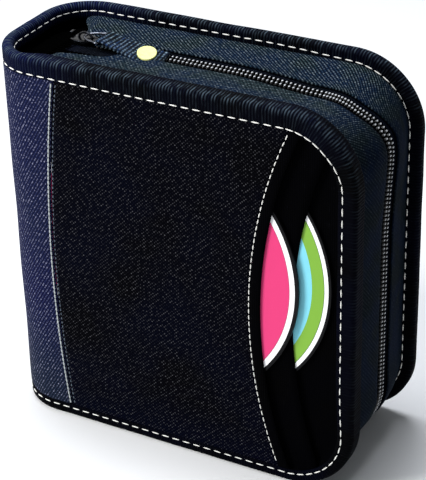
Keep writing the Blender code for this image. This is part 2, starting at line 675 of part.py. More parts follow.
def front_cover(finishes, parts):
    """The front cover's layers, from the outer pocket in to the lining."""
    gap = CLEARANCE / 2
    inset = LAYER_INSET
    rows = row_heights(inset, 8)
    few_rows = row_heights(inset, 5)

    def outer_depth(x, z):
        return bend_depth(x) + RIM_DEPTH * (1 - puff(min(z, CASE_HEIGHT - z)))

    def pocket_depth(x, z):
        return RIM_DEPTH * (1 - puff(edge_distance(x, z)))

    def inner_depth(x, z):
        return INNER_RIM_DEPTH + (INNER_POCKET_DEPTH - INNER_RIM_DEPTH) * puff(edge_distance(x, z))

    def base_depth(x, z):
        past = ease((x - inner_mouth_x(z)) / (2 * TAPE_WIDTH))
        rim = BASE_RIM_DEPTH + (RIM_DEPTH - BASE_RIM_DEPTH) * past
        return rim + (BASE_DEPTH - rim) * puff(edge_distance(x, z))

    def inner_start(z):
        return SPINE_RADIUS

    def near_edge(curve, spare=0.0):
        return lambda z: min(curve(z), edge_x(z, inset) - spare)

    wing = between(fold_x, lambda z: seam_x(z) - gap, [0.0, 0.25, 0.5, 1.0])
    pocket = between(lambda z: seam_x(z) + gap, near_edge(lambda z: mouth_x(z) - gap), [0.0, 0.33, 0.67, 1.0])
    band = between(near_edge(lambda z: mouth_x(z) + gap), near_edge(outer_mouth_x), [0.0, 1.0])
    under = [0.0, 0.4, 0.75, 0.9, 1.0]
    inner = between(inner_start, near_edge(inner_mouth_x), under)
    base_mouth = near_edge(inner_mouth_x, BASE_SPARE)
    base = between(inner_start, base_mouth, under)
    rims = [TAPE_WIDTH + PUFF_WIDTH, TAPE_WIDTH + PUFF_WIDTH / 2, TAPE_WIDTH, inset]
    for number, rim in enumerate(rims, start=1):
        spare = BASE_SPARE * number / len(rims)
        base.append(lambda z, rim=rim, spare=spare: max(edge_x(z, rim), base_mouth(z) + spare))
    # The slider stays on the rear row, so this row starts past it and swings clear as the cover opens
    past_slider = SLIDER_X + SLIDER_LENGTH / 2 + CLEARANCE
    second_x = FIRST_DISC_X + DISC_STAGGER
    second_z = FIRST_DISC_Z + DISC_RISE
    return [
        layer("front_spine_wing", FRONT, few_rows, wing, outer_depth, CLOTH, finishes["twill"], parts),
        layer("outer_pocket", FRONT, rows, pocket, pocket_depth, CLOTH, finishes["panel"], parts),
        layer("outer_pocket_band", FRONT, rows, band, pocket_depth, CLOTH, finishes["plain"], parts),
        disc("first_disc", FIRST_DISC_X, FIRST_DISC_Z, FIRST_DISC_DEPTH, finishes["pink"], parts),
        layer("inner_pocket", FRONT, rows, inner, inner_depth, LINING, finishes["plain"], parts),
        disc("second_disc", second_x, second_z, SECOND_DISC_DEPTH, finishes["cyan"], parts),
        layer("front_base_panel", FRONT, rows, base, base_depth, LINING, finishes["plain"], parts),
        plate("front_board", FRONT, FRONT_BOARD_DEPTH, FRONT_BOARD, inset, SPINE_RADIUS, finishes["board"], parts),
        plate("front_lining", FRONT, FRONT_LINING_DEPTH, LINING, inset, SPINE_RADIUS, finishes["lining"], parts),
        binding("front_binding", FRONT, FRONT_THICKNESS, finishes["binding"], parts),
        gusset("front_gusset", FRONT, FRONT_LINING_DEPTH + LINING + CLEARANCE, ZIP_FROM_FRONT,
               finishes["gusset"], parts),
        zip_tape("front_zip_tape", FRONT, ZIP_FROM_FRONT, finishes["tape"], parts),
        zip_row("front_zip_teeth", FRONT, ZIP_FROM_FRONT, past_slider, finishes["teeth"], parts),
        zip_stop("front_zip_bottom_stop", FRONT, ZIP_FROM_FRONT, ZIP_INSET, finishes["metal"], parts),
    ]


def rear_cover(finishes, parts):
    """The rear cover, which has no pockets."""
    gap = CLEARANCE / 2
    inset = LAYER_INSET
    rows = row_heights(inset, 4)
    zip_from_rear = CASE_DEPTH - ZIP_FROM_FRONT
    past_stop = ZIP_FROM_SPINE + STOP_LENGTH + CLEARANCE

    def wing_depth(x, z):
        sunk = REAR_PUFF * ease((x - FOLD_FROM_SPINE) / (SEAM_WAIST_X - FOLD_FROM_SPINE))
        return bend_depth(x) + sunk + (RIM_DEPTH - sunk) * (1 - puff(min(z, CASE_HEIGHT - z)))

    def panel_depth(x, z):
        return RIM_DEPTH + (REAR_PUFF - RIM_DEPTH) * puff(edge_distance(x, z))

    wing = between(fold_x, lambda z: seam_x(z) - gap, [0.0, 0.25, 0.5, 1.0])
    shares = [0.0, 0.3, 0.6, 0.9, 0.935, 0.957, 1.0]
    panel = between(lambda z: seam_x(z) + gap, lambda z: edge_x(z, inset), shares)
    return [
        layer("rear_spine_wing", REAR, rows, wing, wing_depth, CLOTH, finishes["twill"], parts),
        layer("rear_panel", REAR, rows, panel, panel_depth, CLOTH, finishes["panel"], parts),
        plate("rear_board", REAR, REAR_BOARD_DEPTH, REAR_BOARD, inset, SPINE_RADIUS, finishes["board"], parts),
        plate("rear_lining", REAR, REAR_LINING_DEPTH, LINING, inset, SPINE_RADIUS, finishes["lining"], parts),
        binding("rear_binding", REAR, REAR_THICKNESS, finishes["binding"], parts),
        gusset("rear_gusset", REAR, REAR_LINING_DEPTH + LINING + CLEARANCE, zip_from_rear,
               finishes["gusset"], parts),
        zip_tape("rear_zip_tape", REAR, zip_from_rear, finishes["tape"], parts),
        zip_row("rear_zip_teeth", REAR, zip_from_rear, past_stop, finishes["teeth"], parts),
        zip_stop("rear_zip_top_stop", REAR, zip_from_rear, CASE_HEIGHT - ZIP_INSET, finishes["metal"], parts),
        zip_stop("rear_zip_bottom_stop", REAR, zip_from_rear, ZIP_INSET, finishes["metal"], parts),
    ]


def spine(finishes, parts, cutters):
    inset = LAYER_INSET
    low = [inset, TAPE_WIDTH, TAPE_WIDTH + PUFF_WIDTH / 2, TAPE_WIDTH + PUFF_WIDTH]
    rows = low + [CASE_HEIGHT - z for z in reversed(low)]
    ends = [inset, CASE_HEIGHT - inset]
    return [
        spine_layer("spine_panel", 0.0, RIM_DEPTH, CLOTH, rows, finishes["twill"], parts),
        spine_layer("spine_board", SPINE_BOARD_DEPTH, SPINE_BOARD_DEPTH, SPINE_BOARD, ends, finishes["board"],
                    parts),
        spine_layer("spine_lining", SPINE_LINING_DEPTH, SPINE_LINING_DEPTH, LINING, ends, finishes["lining"],
                    parts),
        spine_binding("spine_top_binding", True, finishes["binding"], parts),
        spine_binding("spine_bottom_binding", False, finishes["binding"], parts),
        page_strip("page_strip", finishes["lining"], parts),
        sleeve_pages("sleeve_pages", finishes["pages"], parts, cutters),
    ]


def pivot(name, place, collection):
    """An empty on a joint's axis."""
    made = bpy.data.objects.new(name, None)
    made.location = place
    made.empty_display_size = 0.01
    collection.objects.link(made)
    return made


def carry(empty, pieces):
    for piece in pieces:
        piece.parent = empty
        piece.matrix_parent_inverse = Matrix.Translation(-Vector(empty.location))


def main():
    clear_scene()
    scene = bpy.context.scene
    parts = bpy.data.collections.new("disc_wallet")
    cutters = bpy.data.collections.new("cutters")
    scene.collection.children.link(parts)
    scene.collection.children.link(cutters)
    finishes = {
        "twill": material("navy_twill", (0.012, 0.014, 0.028), 0.85),
        "panel": material("ballistic_weave", (0.006, 0.006, 0.008), 0.8),
        "plain": material("plain_black_cloth", (0.004, 0.004, 0.005), 0.9),
        "gusset": material("slate_twill", (0.016, 0.02, 0.032), 0.85),
        "binding": material("grosgrain_tape", (0.008, 0.009, 0.014), 0.8),
        "lining": material("black_lining", (0.006, 0.006, 0.007), 0.9),
        "board": material("grey_board", (0.2, 0.19, 0.17), 0.9),
        "tape": material("zip_tape", (0.006, 0.006, 0.008), 0.85),
        "teeth": material("moulded_coil", (0.05, 0.05, 0.06), 0.45),
        "metal": material("dark_enamelled_metal", (0.05, 0.05, 0.055), 0.35, 0.9),
        "steel": material("plated_wire", (0.45, 0.45, 0.46), 0.3, 1.0),
        "webbing": material("ribbed_webbing", (0.006, 0.008, 0.01), 0.85),
        "dot": material("pale_rubber", (0.8, 0.72, 0.25), 0.5),
        "pages": material("sleeve_film", (0.12, 0.12, 0.13), 0.6),
        "pink": material("pink_print", (1.0, 0.07, 0.24), 0.3),
        "cyan": material("cyan_print", (0.27, 0.79, 0.91), 0.3),
    }
    spine(finishes, parts, cutters)
    front_fold = pivot("front_fold", (world_x(FOLD_FROM_SPINE), world_y(FRONT, FOLD_DEPTH), 0), parts)
    rear_fold = pivot("rear_fold", (world_x(FOLD_FROM_SPINE), world_y(REAR, FOLD_DEPTH), 0), parts)
    carry(front_fold, front_cover(finishes, parts))
    carry(rear_fold, rear_cover(finishes, parts))

    middle = world_y(FRONT, ZIP_FROM_FRONT)
    run = pivot("zip_run", (world_x(SLIDER_X), middle, CASE_HEIGHT - ZIP_INSET), parts)
    carry(run, [slider("zip_slider", finishes["metal"], parts, cutters)])
    swing = pivot("pull_swing", (world_x(SLIDER_X), middle, ring_height()), parts)
    carry(swing, [
        pull_ring("pull_ring", finishes["steel"], parts),
        pull_tab("pull_tab", finishes["webbing"], parts),
        pull_dot("pull_dot", finishes["dot"], parts),
    ])
    carry(run, [swing])
    carry(rear_fold, [run])


main()
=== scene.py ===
import math

import bpy
from mathutils import Matrix, Vector, noise


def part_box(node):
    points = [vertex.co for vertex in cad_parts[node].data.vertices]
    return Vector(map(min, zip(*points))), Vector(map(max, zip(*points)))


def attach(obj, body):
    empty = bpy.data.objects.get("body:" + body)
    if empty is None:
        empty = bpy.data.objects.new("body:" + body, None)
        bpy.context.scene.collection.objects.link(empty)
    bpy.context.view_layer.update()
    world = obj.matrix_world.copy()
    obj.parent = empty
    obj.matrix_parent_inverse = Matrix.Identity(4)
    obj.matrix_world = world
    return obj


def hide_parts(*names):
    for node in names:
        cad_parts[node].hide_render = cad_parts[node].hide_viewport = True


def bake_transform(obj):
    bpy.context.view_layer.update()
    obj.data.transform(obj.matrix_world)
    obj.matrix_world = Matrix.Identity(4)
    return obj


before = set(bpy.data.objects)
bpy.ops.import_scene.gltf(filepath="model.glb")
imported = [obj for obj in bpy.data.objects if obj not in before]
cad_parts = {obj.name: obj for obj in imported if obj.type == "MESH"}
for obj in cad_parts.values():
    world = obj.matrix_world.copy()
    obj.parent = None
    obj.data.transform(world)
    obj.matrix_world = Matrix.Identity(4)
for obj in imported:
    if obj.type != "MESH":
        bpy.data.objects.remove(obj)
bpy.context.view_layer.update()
mm = 0.001
front = -1
rear = 1

# Sizes that the pieces share: read from the frame, or repeated from the drawing where a node can't give them
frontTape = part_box("front_binding")
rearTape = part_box("rear_binding")
case = {
    "left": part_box("spine_top_binding")[0].x,
    "right": frontTape[1].x,
    "halfDepth": rearTape[1].y,
    "height": frontTape[1].z,
    "corner": 30 * mm,
    "spineRadius": 22 * mm,
    "foldStart": 13 * mm,  # the cloth bends between these two distances from the spine's back
    "foldEnd": 21 * mm,
    "frontThick": frontTape[1].y - frontTape[0].y,
    "rearThick": rearTape[1].y - rearTape[0].y,
    "spineThick": 4.7 * mm,
    "tape": 7.4 * mm,  # width of the binding tape on a face, which narrows towards the foot
    "footTape": 5.9 * mm,
    "rimSunk": 0.8 * mm,  # how deep the cloth lies under the tape
    "zipDepth": 36.5 * mm,  # from the front cover's face to the middle of the zip
    "zipInset": 4.35 * mm,  # from the covers' edge down to the middle of the zip
}
width = case["right"] - case["left"]
height = case["height"]
depth = 2 * case["halfDepth"]
spineFlat = case["halfDepth"] - case["spineRadius"]
spineArc = case["spineRadius"] * math.pi / 2
bend = spineFlat + spineArc - case["spineRadius"]  # what the spine's curve adds to a distance from its back


def linearColour(code):
    values = [int(code[i:i + 2], 16) / 255 for i in (1, 3, 5)]
    return [v / 12.92 if v <= 0.04045 else ((v + 0.055) / 1.055) ** 2.4 for v in values] + [1.0]


def addNode(tree, kind, values=None, links=None, **settings):
    node = tree.nodes.new("ShaderNode" + kind)
    for key, value in settings.items():
        setattr(node, key, value)
    for socket, value in (values or {}).items():
        node.inputs[socket].default_value = value
    for socket, source in (links or {}).items():
        tree.links.new(source, node.inputs[socket])
    return node


def startMaterial(name, roughness, metallic=0.0, colour="#808080", gloss=0.5):
    made = bpy.data.materials.new(name)
    made.use_nodes = True
    shader = made.node_tree.nodes["Principled BSDF"]
    shader.inputs["Base Color"].default_value = linearColour(colour)
    shader.inputs["Roughness"].default_value = roughness
    shader.inputs["Metallic"].default_value = metallic
    shader.inputs["Specular IOR Level"].default_value = gloss
    return made, made.node_tree, shader


def mixColour(tree, factor, low, high):
    node = addNode(tree, "Mix", data_type="RGBA")
    tree.links.new(factor, node.inputs[0])
    for socket, colour in ((6, low), (7, high)):
        if isinstance(colour, str):
            node.inputs[socket].default_value = linearColour(colour)
        else:
            tree.links.new(colour, node.inputs[socket])
    return node.outputs[2]


def multiply(tree, first, second):
    return addNode(tree, "Math", links={0: first, 1: second}, operation="MULTIPLY").outputs[0]


# Turns the values between low and high into shares between least and most
def toShare(tree, value, low, high, least=0.0, most=1.0, curve="LINEAR"):
    return addNode(tree, "MapRange", {"From Min": low, "From Max": high, "To Min": least, "To Max": most},
                   {"Value": value}, interpolation_type=curve).outputs[0]


def addBump(tree, shader, height, strength, distance):
    bump = addNode(tree, "Bump", {"Strength": strength, "Distance": distance}, {"Height": height})
    tree.links.new(bump.outputs["Normal"], shader.inputs["Normal"])


# What all the cloths share. A wave texture's band is 0.31416 wide at scale 1. The rib share is the part of the
# rib colour kept where painted shade dims the ribs
clothWorks = {"band": 0.31416, "shadedRibShare": 0.12, "dyeFrom": 0.38, "dyeTo": 0.62, "relief": 0.25 * mm}


# Woven cloth: ribs on the slant, broken by crossing threads, with painted highlights as pale flecks where a
# thread comes up, and a slow drift in dye. A fade gives the direction and the two distances between which the
# colour turns to its second shade; on the binding tape that second shade is painted light. The lit rib spans
# give the directions and distances outside which painted shade dims the ribs, so that they show only where
# light falls. Real threads lie about half a millimetre apart, too fine to show here, so each pitch is drawn
# about twice as coarse
def wovenCloth(name, look):
    made, tree, shader = startMaterial(name, look["roughness"], gloss=look["gloss"])
    where = addNode(tree, "TexCoord").outputs[look.get("map", "UV")]
    turned = addNode(tree, "Mapping", {"Rotation": (0, 0, math.radians(look["slant"]))},
                     {"Vector": where}).outputs["Vector"]
    crossed = addNode(tree, "Mapping", {"Rotation": (0, 0, math.radians(look["cross"]))},
                      {"Vector": where}).outputs["Vector"]
    bands = {"Distortion": look["wander"], "Detail": 2.0, "Detail Scale": 0.6}
    rib = addNode(tree, "TexWave", {"Scale": clothWorks["band"] / look["ribPitch"], **bands},
                  {"Vector": turned}, bands_direction="X").outputs["Fac"]
    thread = addNode(tree, "TexWave", {"Scale": clothWorks["band"] / look["threadPitch"], **bands},
                     {"Vector": crossed}, bands_direction="X").outputs["Fac"]
    weave = multiply(tree, rib, toShare(tree, thread, 0.0, 1.0, 1 - look["cut"]))
    raisedThread = toShare(tree, weave, look["crest"], 1.0)
    stretched = addNode(tree, "Mapping", {"Scale": (*look.get("stretch", (1, 1)), 1.0)},
                        {"Vector": where}).outputs["Vector"]
    # Painted highlights: noise picks pale flecks on the raised threads, which take the highlight colour
    grain = addNode(tree, "TexNoise", {"Scale": 1 / look["glintSize"], "Detail": 3.0},
                    {"Vector": stretched}).outputs["Fac"]
    paintedGlint = toShare(tree, grain, look["glintFrom"], look["glintTo"])
    # Painted shade: outside each lit span the ribs keep only a small share of their colour, and inside it they
    # show in full where light falls
    for axis, start, end in look.get("litRibSpans", ()):
        apart = addNode(tree, "SeparateXYZ", links={0: where}).outputs[axis]
        share = toShare(tree, apart, start, end, clothWorks["shadedRibShare"], curve="SMOOTHSTEP")
        raisedThread = multiply(tree, raisedThread, share)
    lit = multiply(tree, raisedThread, paintedGlint)
    drift = addNode(tree, "TexNoise", {"Scale": 1 / look["driftSize"], "Detail": 2.0},
                    {"Vector": where}).outputs["Fac"]
    dyeAndLight = toShare(tree, drift, clothWorks["dyeFrom"], clothWorks["dyeTo"])
    # The fade turns the colour to its second shade; on the binding tape this is painted light, a lighter navy
    # round the spine where light falls
    if "fade" in look:
        axis, start, end = look["fade"]
        apart = addNode(tree, "SeparateXYZ", links={0: where}).outputs[axis]
        share = toShare(tree, apart, start, end, curve="SMOOTHSTEP")
        dyeAndLight = addNode(tree, "Math", {0: look["patch"]}, {1: dyeAndLight}, operation="MULTIPLY").outputs[0]
        dyeAndLight = addNode(tree, "Math", links={0: dyeAndLight, 1: share}, operation="MAXIMUM").outputs[0]
    ground = mixColour(tree, dyeAndLight, look["ground"], look["groundDriftAndLight"])
    ribbed = mixColour(tree, dyeAndLight, look["rib"], look["ribDriftAndLight"])
    cloth = mixColour(tree, raisedThread, ground, ribbed)
    tree.links.new(mixColour(tree, lit, cloth, look["paintedGlint"]), shader.inputs["Base Color"])
    addBump(tree, shader, weave, look["bump"], clothWorks["relief"])
    return made


# Nylon twill in navy: slanting violet-blue ribs with pale painted highlights on the thread tops, greyer
# towards the foot of the case
navyTwill = wovenCloth("nylonTwillNavy", {
    "roughness": 0.75, "gloss": 0.04, "slant": -32, "cross": 48,
    "ribPitch": 1.25 * mm, "threadPitch": 1.1 * mm, "cut": 0.4, "crest": 0.35, "wander": 0.6,
    "glintSize": 1.1 * mm, "glintFrom": 0.5, "glintTo": 0.72, "driftSize": 40 * mm,
    "fade": ("Y", 62 * mm, 2 * mm), "patch": 0.3, "ground": "#080b2a", "groundDriftAndLight": "#0d1423",
    "rib": "#222850", "ribDriftAndLight": "#222d40", "paintedGlint": "#a4a6c2", "bump": 0.5})
# Ballistic nylon: a coarse black weave whose thread tops carry painted highlights, pale dots in slanting rows,
# bluer at the foot
ballisticNylon = wovenCloth("ballisticNylonBlack", {
    "roughness": 0.8, "gloss": 0.015, "slant": -47, "cross": 43,
    "ribPitch": 1.15 * mm, "threadPitch": 1.1 * mm, "cut": 0.8, "crest": 0.4, "wander": 0.5,
    "glintSize": 1.6 * mm, "glintFrom": 0.47, "glintTo": 0.75, "driftSize": 34 * mm,
    "fade": ("Y", 30 * mm, 4 * mm), "patch": 0.7, "ground": "#010103", "groundDriftAndLight": "#01020c",
    "rib": "#0a0a0f", "ribDriftAndLight": "#070b1c", "paintedGlint": "#626267", "bump": 0.5})
# Plain black polyester of the pockets: fine and flat, it gives almost nothing back
plainPolyester = wovenCloth("polyesterPlainBlack", {
    "roughness": 0.9, "gloss": 0.01, "slant": 0, "cross": 90, "ribPitch": 0.9 * mm,
    "threadPitch": 0.9 * mm, "cut": 0.6, "crest": 0.2, "wander": 0.3, "glintSize": 2.2 * mm,
    "glintFrom": 0.6, "glintTo": 0.9, "driftSize": 30 * mm, "ground": "#010101", "groundDriftAndLight": "#010102",
    "rib": "#050507", "ribDriftAndLight": "#040407", "paintedGlint": "#141418", "bump": 0.2})
# Gusset nylon in slate: thin slanting twill, blotched between navy and green-grey, with painted highlights on
# its grain along the top, and painted shade that dims its ribs to nearly black down the fore-edge
slateTwill = wovenCloth("nylonTwillSlate", {
    "roughness": 0.8, "gloss": 0.02, "slant": 50, "cross": -40,
    "ribPitch": 1.2 * mm, "threadPitch": 1.2 * mm, "cut": 0.5, "crest": 0.3, "wander": 0.8,
    "glintSize": 1.3 * mm, "glintFrom": 0.46, "glintTo": 0.76, "driftSize": 12 * mm,
    "litRibSpans": (("X", 194 * mm, 166 * mm),), "ground": "#040a10", "groundDriftAndLight": "#040c1c", "rib": "#2c3d40",
    "ribDriftAndLight": "#1c3046", "paintedGlint": "#8c999e", "bump": 0.5})
# Grosgrain binding tape: close ribs straight across, kept black on the faces and towards the fore-edge by
# painted shade, with a painted grey light on the ribs over the top of the roll, and painted lighter navy round
# the spine where light falls
grosgrain = wovenCloth("grosgrainBlack", {
    "roughness": 0.7, "gloss": 0.015, "slant": 0, "cross": 90, "ribPitch": 1.3 * mm,
    "threadPitch": 30 * mm, "cut": 0.1, "crest": 0.3, "wander": 1.4, "stretch": (1, 0.25),
    "glintSize": 1.3 * mm, "glintFrom": 0.42, "glintTo": 0.62, "driftSize": 30 * mm,
    "fade": ("X", 80 * mm, 26 * mm), "patch": 0.2,
    "litRibSpans": (("Y", 4.6 * mm, 8.4 * mm), ("Y", 13 * mm, 9.6 * mm), ("X", 205 * mm, 165 * mm)),
    "ground": "#010102", "groundDriftAndLight": "#050820", "rib": "#080c11", "ribDriftAndLight": "#1a234a",
    "paintedGlint": "#46535d", "bump": 0.9})
# Zip tape: tight polyester, black with a blue cast
zipTapeCloth = wovenCloth("polyesterZipTape", {
    "roughness": 0.8, "gloss": 0.02, "slant": 60, "cross": -60, "ribPitch": 1.0 * mm,
    "threadPitch": 1.0 * mm, "cut": 0.6, "crest": 0.3, "wander": 0.3, "glintSize": 1.5 * mm,
    "glintFrom": 0.5, "glintTo": 0.8, "driftSize": 20 * mm, "ground": "#010205", "groundDriftAndLight": "#020309",
    "rib": "#0b0f16", "ribDriftAndLight": "#090e19", "paintedGlint": "#262d36", "bump": 0.4})
# Pull webbing: thick ribs straight across, dark with a green-blue cast and painted highlights on the threads
# along each rib
pullWebbing = wovenCloth("polypropyleneWebbing", {
    "roughness": 0.7, "gloss": 0.05, "slant": 6, "cross": 84, "ribPitch": 1.9 * mm,
    "threadPitch": 1.4 * mm, "cut": 0.5, "crest": 0.3, "wander": 0.4, "glintSize": 1.4 * mm,
    "glintFrom": 0.42, "glintTo": 0.7, "driftSize": 12 * mm, "ground": "#010305", "groundDriftAndLight": "#020a18",
    "rib": "#172f38", "ribDriftAndLight": "#1a325c", "paintedGlint": "#8ea3ab", "bump": 0.6})
# Lining cloth of the covers and the spine: a dull even black, seen when the case is open
liningCloth = wovenCloth("polyesterLining", {
    "map": "Object", "roughness": 0.9, "gloss": 0.0, "slant": 0, "cross": 90,
    "ribPitch": 1.2 * mm, "threadPitch": 1.2 * mm, "cut": 0.6, "crest": 0.2, "wander": 0.3,
    "glintSize": 2 * mm, "glintFrom": 0.55, "glintTo": 0.85, "driftSize": 40 * mm, "ground": "#010101",
    "groundDriftAndLight": "#010102", "rib": "#040405", "ribDriftAndLight": "#030305", "paintedGlint": "#0b0b0d", "bump": 0.3})
print("cloth materials ready")


# Smooth stuff, such as metal, rubber and thread: a grain shifts its colour and its shine a little
plainWorks = {"smoother": 0.08, "rougher": 0.1, "relief": 0.1 * mm}


def plainMaterial(name, look):
    metallic = look.get("metallic", 0.0)
    made, tree, shader = startMaterial(name, look["roughness"], metallic, gloss=look["gloss"])
    where = addNode(tree, "TexCoord").outputs["Object"]
    grain = addNode(tree, "TexNoise", {"Scale": 1 / look["grain"], "Detail": 4.0},
                    {"Vector": where}).outputs["Fac"]
    tree.links.new(mixColour(tree, grain, look["low"], look["high"]), shader.inputs["Base Color"])
    smooth, rough = look["roughness"] - plainWorks["smoother"], look["roughness"] + plainWorks["rougher"]
    rough = toShare(tree, grain, 0.0, 1.0, smooth, rough)
    tree.links.new(rough, shader.inputs["Roughness"])
    addBump(tree, shader, grain, look["bump"], plainWorks["relief"])
    return made


# Moulded polyester coil: a hard black, with a pale painted highlight on each turn's crown
coilPlastic = plainMaterial("polyesterCoilBlack", {
    "roughness": 0.35, "gloss": 0.3, "grain": 1.5 * mm, "low": "#030405", "high": "#0a0b0e",
    "bump": 0.1})
coilPaintedHighlight = plainMaterial("polyesterCoilPaintedHighlight", {
    "roughness": 0.25, "gloss": 0.5, "grain": 1.5 * mm, "low": "#8c9096", "high": "#d9dbde",
    "bump": 0.05})
# Zinc die casting in black enamel: smooth, dark, with sharp glints on its edges
enamelledZinc = plainMaterial("zincBlackEnamel", {
    "roughness": 0.17, "metallic": 0.9, "gloss": 0.5, "grain": 2 * mm, "low": "#050608", "high": "#1c1f25",
    "bump": 0.15})
# Steel wire, plated dark: bright streaks along the bends
platedWire = plainMaterial("steelWireBlackNickel", {
    "roughness": 0.2, "metallic": 1.0, "gloss": 0.5, "grain": 3 * mm, "low": "#3a3d44", "high": "#7a7e88",
    "bump": 0.05})
# Bonded polyester thread: off-white, slightly glossy, twisted
sewingThread = plainMaterial("polyesterThreadWhite", {
    "roughness": 0.55, "gloss": 0.3, "grain": 0.6 * mm, "low": "#dddcd4", "high": "#fbfaf5",
    "bump": 0.4})
# The finer thread of the seams, painted greyer for the shade where it sinks into the cloth
seamThread = plainMaterial("polyesterThreadGrey", {
    "roughness": 0.6, "gloss": 0.2, "grain": 0.6 * mm, "low": "#868e92", "high": "#c6ccca",
    "bump": 0.4})
# The same thread where it dips into the seam, painted a dark slate for the shade in the dip
seamThreadInShade = plainMaterial("polyesterThreadPaintedShade", {
    "roughness": 0.65, "gloss": 0.2, "grain": 0.8 * mm, "low": "#1c2433", "high": "#6a7683",
    "bump": 0.4})
# Moulded rubber badge: matt pale yellow
paleRubber = plainMaterial("rubberPaleYellow", {
    "roughness": 0.55, "gloss": 0.3, "grain": 1.2 * mm, "low": "#d9dc7c", "high": "#f3f5ae",
    "bump": 0.2})
# Grey board inside the covers, fibrous at its cut edges
greyBoard = plainMaterial("greyBoard", {
    "roughness": 0.9, "gloss": 0.1, "grain": 1.5 * mm, "low": "#1b1a19", "high": "#2b2a28",
    "bump": 0.4})
# Sleeve film over black non-woven: a matt black skin with a faint fibre
sleeveFilm = plainMaterial("polypropyleneSleeve", {
    "roughness": 0.7, "gloss": 0.0, "grain": 2.5 * mm, "low": "#010101", "high": "#030303",
    "bump": 0.25})


# Polycarbonate disc with a printed face: rings of colour measured from the disc's own middle, and a clear lip
# that looks black over the dark cloth
def printedDisc(name, node, rings, roughness):
    made, tree, shader = startMaterial(name, roughness, gloss=0.06)
    low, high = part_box(node)
    middle = (low + high) / 2
    reach = 1.02 * (high.x - low.x) / 2
    where = addNode(tree, "TexCoord").outputs["Object"]
    centred = addNode(tree, "VectorMath", {1: middle}, {0: where}, operation="SUBTRACT")
    flat = addNode(tree, "VectorMath", {1: (1, 0, 1)}, {0: centred.outputs[0]}, operation="MULTIPLY")
    away = addNode(tree, "VectorMath", links={0: flat.outputs[0]}, operation="LENGTH").outputs["Value"]
    share = addNode(tree, "Math", {1: reach}, {0: away}, operation="DIVIDE").outputs[0]
    ramp = addNode(tree, "ValToRGB", links={0: share})
    ramp.color_ramp.interpolation = "CONSTANT"
    stops = ramp.color_ramp.elements
    while len(stops) < len(rings):
        stops.new(1.0)
    for stop, (radius, colour) in zip(stops, rings):
        stop.position = radius * mm / reach
        stop.color = linearColour(colour)
    tree.links.new(ramp.outputs["Color"], shader.inputs["Base Color"])
    shader.inputs["Coat Weight"].default_value = 0.02
    shader.inputs["Coat Roughness"].default_value = 0.2
    return made


# First disc: a strong pink round a pale hub, with a white line inside its lip
pinkDisc = printedDisc("polycarbonateDiscPink", "first_disc", [
    (0, "#d9d9dc"), (18, "#f6f4f2"), (20, "#de3f78"), (56.1, "#a8536f"), (56.4, "#ffffff"),
    (58.5, "#0b0b0d")], 0.4)
# Second disc: pale blue, then leaf green that darkens towards its white line
cyanDisc = printedDisc("polycarbonateDiscCyan", "second_disc", [
    (0, "#d9d9dc"), (18, "#f6f4f2"), (20, "#84d8ea"), (51.8, "#80b142"), (56.7, "#47663a"),
    (57.0, "#ffffff"), (58.8, "#0b0b0d")], 0.4)
print("hard materials ready")


def deselectAll():
    if bpy.context.object and bpy.context.object.mode != "OBJECT":
        bpy.ops.object.mode_set(mode="OBJECT")
    bpy.ops.object.select_all(action="DESELECT")


def pick(piece):
    deselectAll()
    piece.select_set(True)
    bpy.context.view_layer.objects.active = piece


def editAll():
    bpy.ops.object.mode_set(mode="EDIT")
    bpy.ops.mesh.select_all(action="SELECT")


def ease(share):
    share = min(max(share, 0.0), 1.0)
    return share * share * (3 - 2 * share)


# A point on the case: along runs from the middle of the spine's back to the fore-edge, sunk is its depth
def onCase(side, along, z, sunk):
    if along <= spineFlat:
        return Vector((case["left"] + sunk, side * along, z))
    if along <= spineFlat + spineArc:
        angle = (along - spineFlat) / case["spineRadius"]
        reach = case["spineRadius"] - sunk
        x = case["left"] + case["spineRadius"] - reach * math.cos(angle)
        return Vector((x, side * (spineFlat + reach * math.sin(angle)), z))
    return Vector((case["left"] + along - bend, side * (case["halfDepth"] - sunk), z))


# The edge of one half of the case, from the spine over the top, down the fore-edge and back along the bottom
quarterRim = case["corner"] * math.pi / 2
topRim = width - case["corner"] + bend
wholeRim = 2 * (topRim + quarterRim) + height - 2 * case["corner"]


def rimAt(run):
    if run > wholeRim / 2:
        along, z, inAlong, inZ = rimAt(wholeRim - run)
        return along, height - z, inAlong, -inZ
    if run <= topRim:
        return run, height, 0.0, -1.0
    if run <= topRim + quarterRim:
        angle = (run - topRim) / case["corner"]
        x = topRim + case["corner"] * math.sin(angle)
        return x, height - case["corner"] * (1 - math.cos(angle)), -math.sin(angle), -math.cos(angle)
    return topRim + case["corner"], height - case["corner"] - (run - topRim - quarterRim), -1.0, 0.0


def onRim(side, run, inset, sunk):
    along, z, inAlong, inZ = rimAt(run)
    return onCase(side, along + inAlong * inset, z + inZ * inset, sunk)


def bowedLine(z, waist, waistHeight, radius):
    return waist + radius - math.sqrt(radius ** 2 - (z - waistHeight) ** 2)


seams = {
    "spineSeam": (27.2 * mm, 73 * mm, 563 * mm),  # waist from the spine, height of the waist, radius
    "pocketArc": (117.2 * mm, 75 * mm, 198 * mm),
    "band": 4.7 * mm,
    "stagger": 12.8 * mm,
}


def spineSeam(z):
    return bowedLine(z, *seams["spineSeam"])


def pocketArc(z):
    return bowedLine(z, *seams["pocketArc"])


def edgeReach(z, inset):
    past = max(case["corner"] - z, z - height + case["corner"], 0.0)
    return width - case["corner"] + math.sqrt(max((case["corner"] - inset) ** 2 - past ** 2, 0.0))


def edgeDistance(x, z):
    pastX = x - width + case["corner"]
    pastZ = max(case["corner"] - z, z - height + case["corner"], 0.0)
    if pastX > 0 and pastZ > 0:
        return case["corner"] - math.hypot(pastX, pastZ)
    return min(z, height - z, width - x)


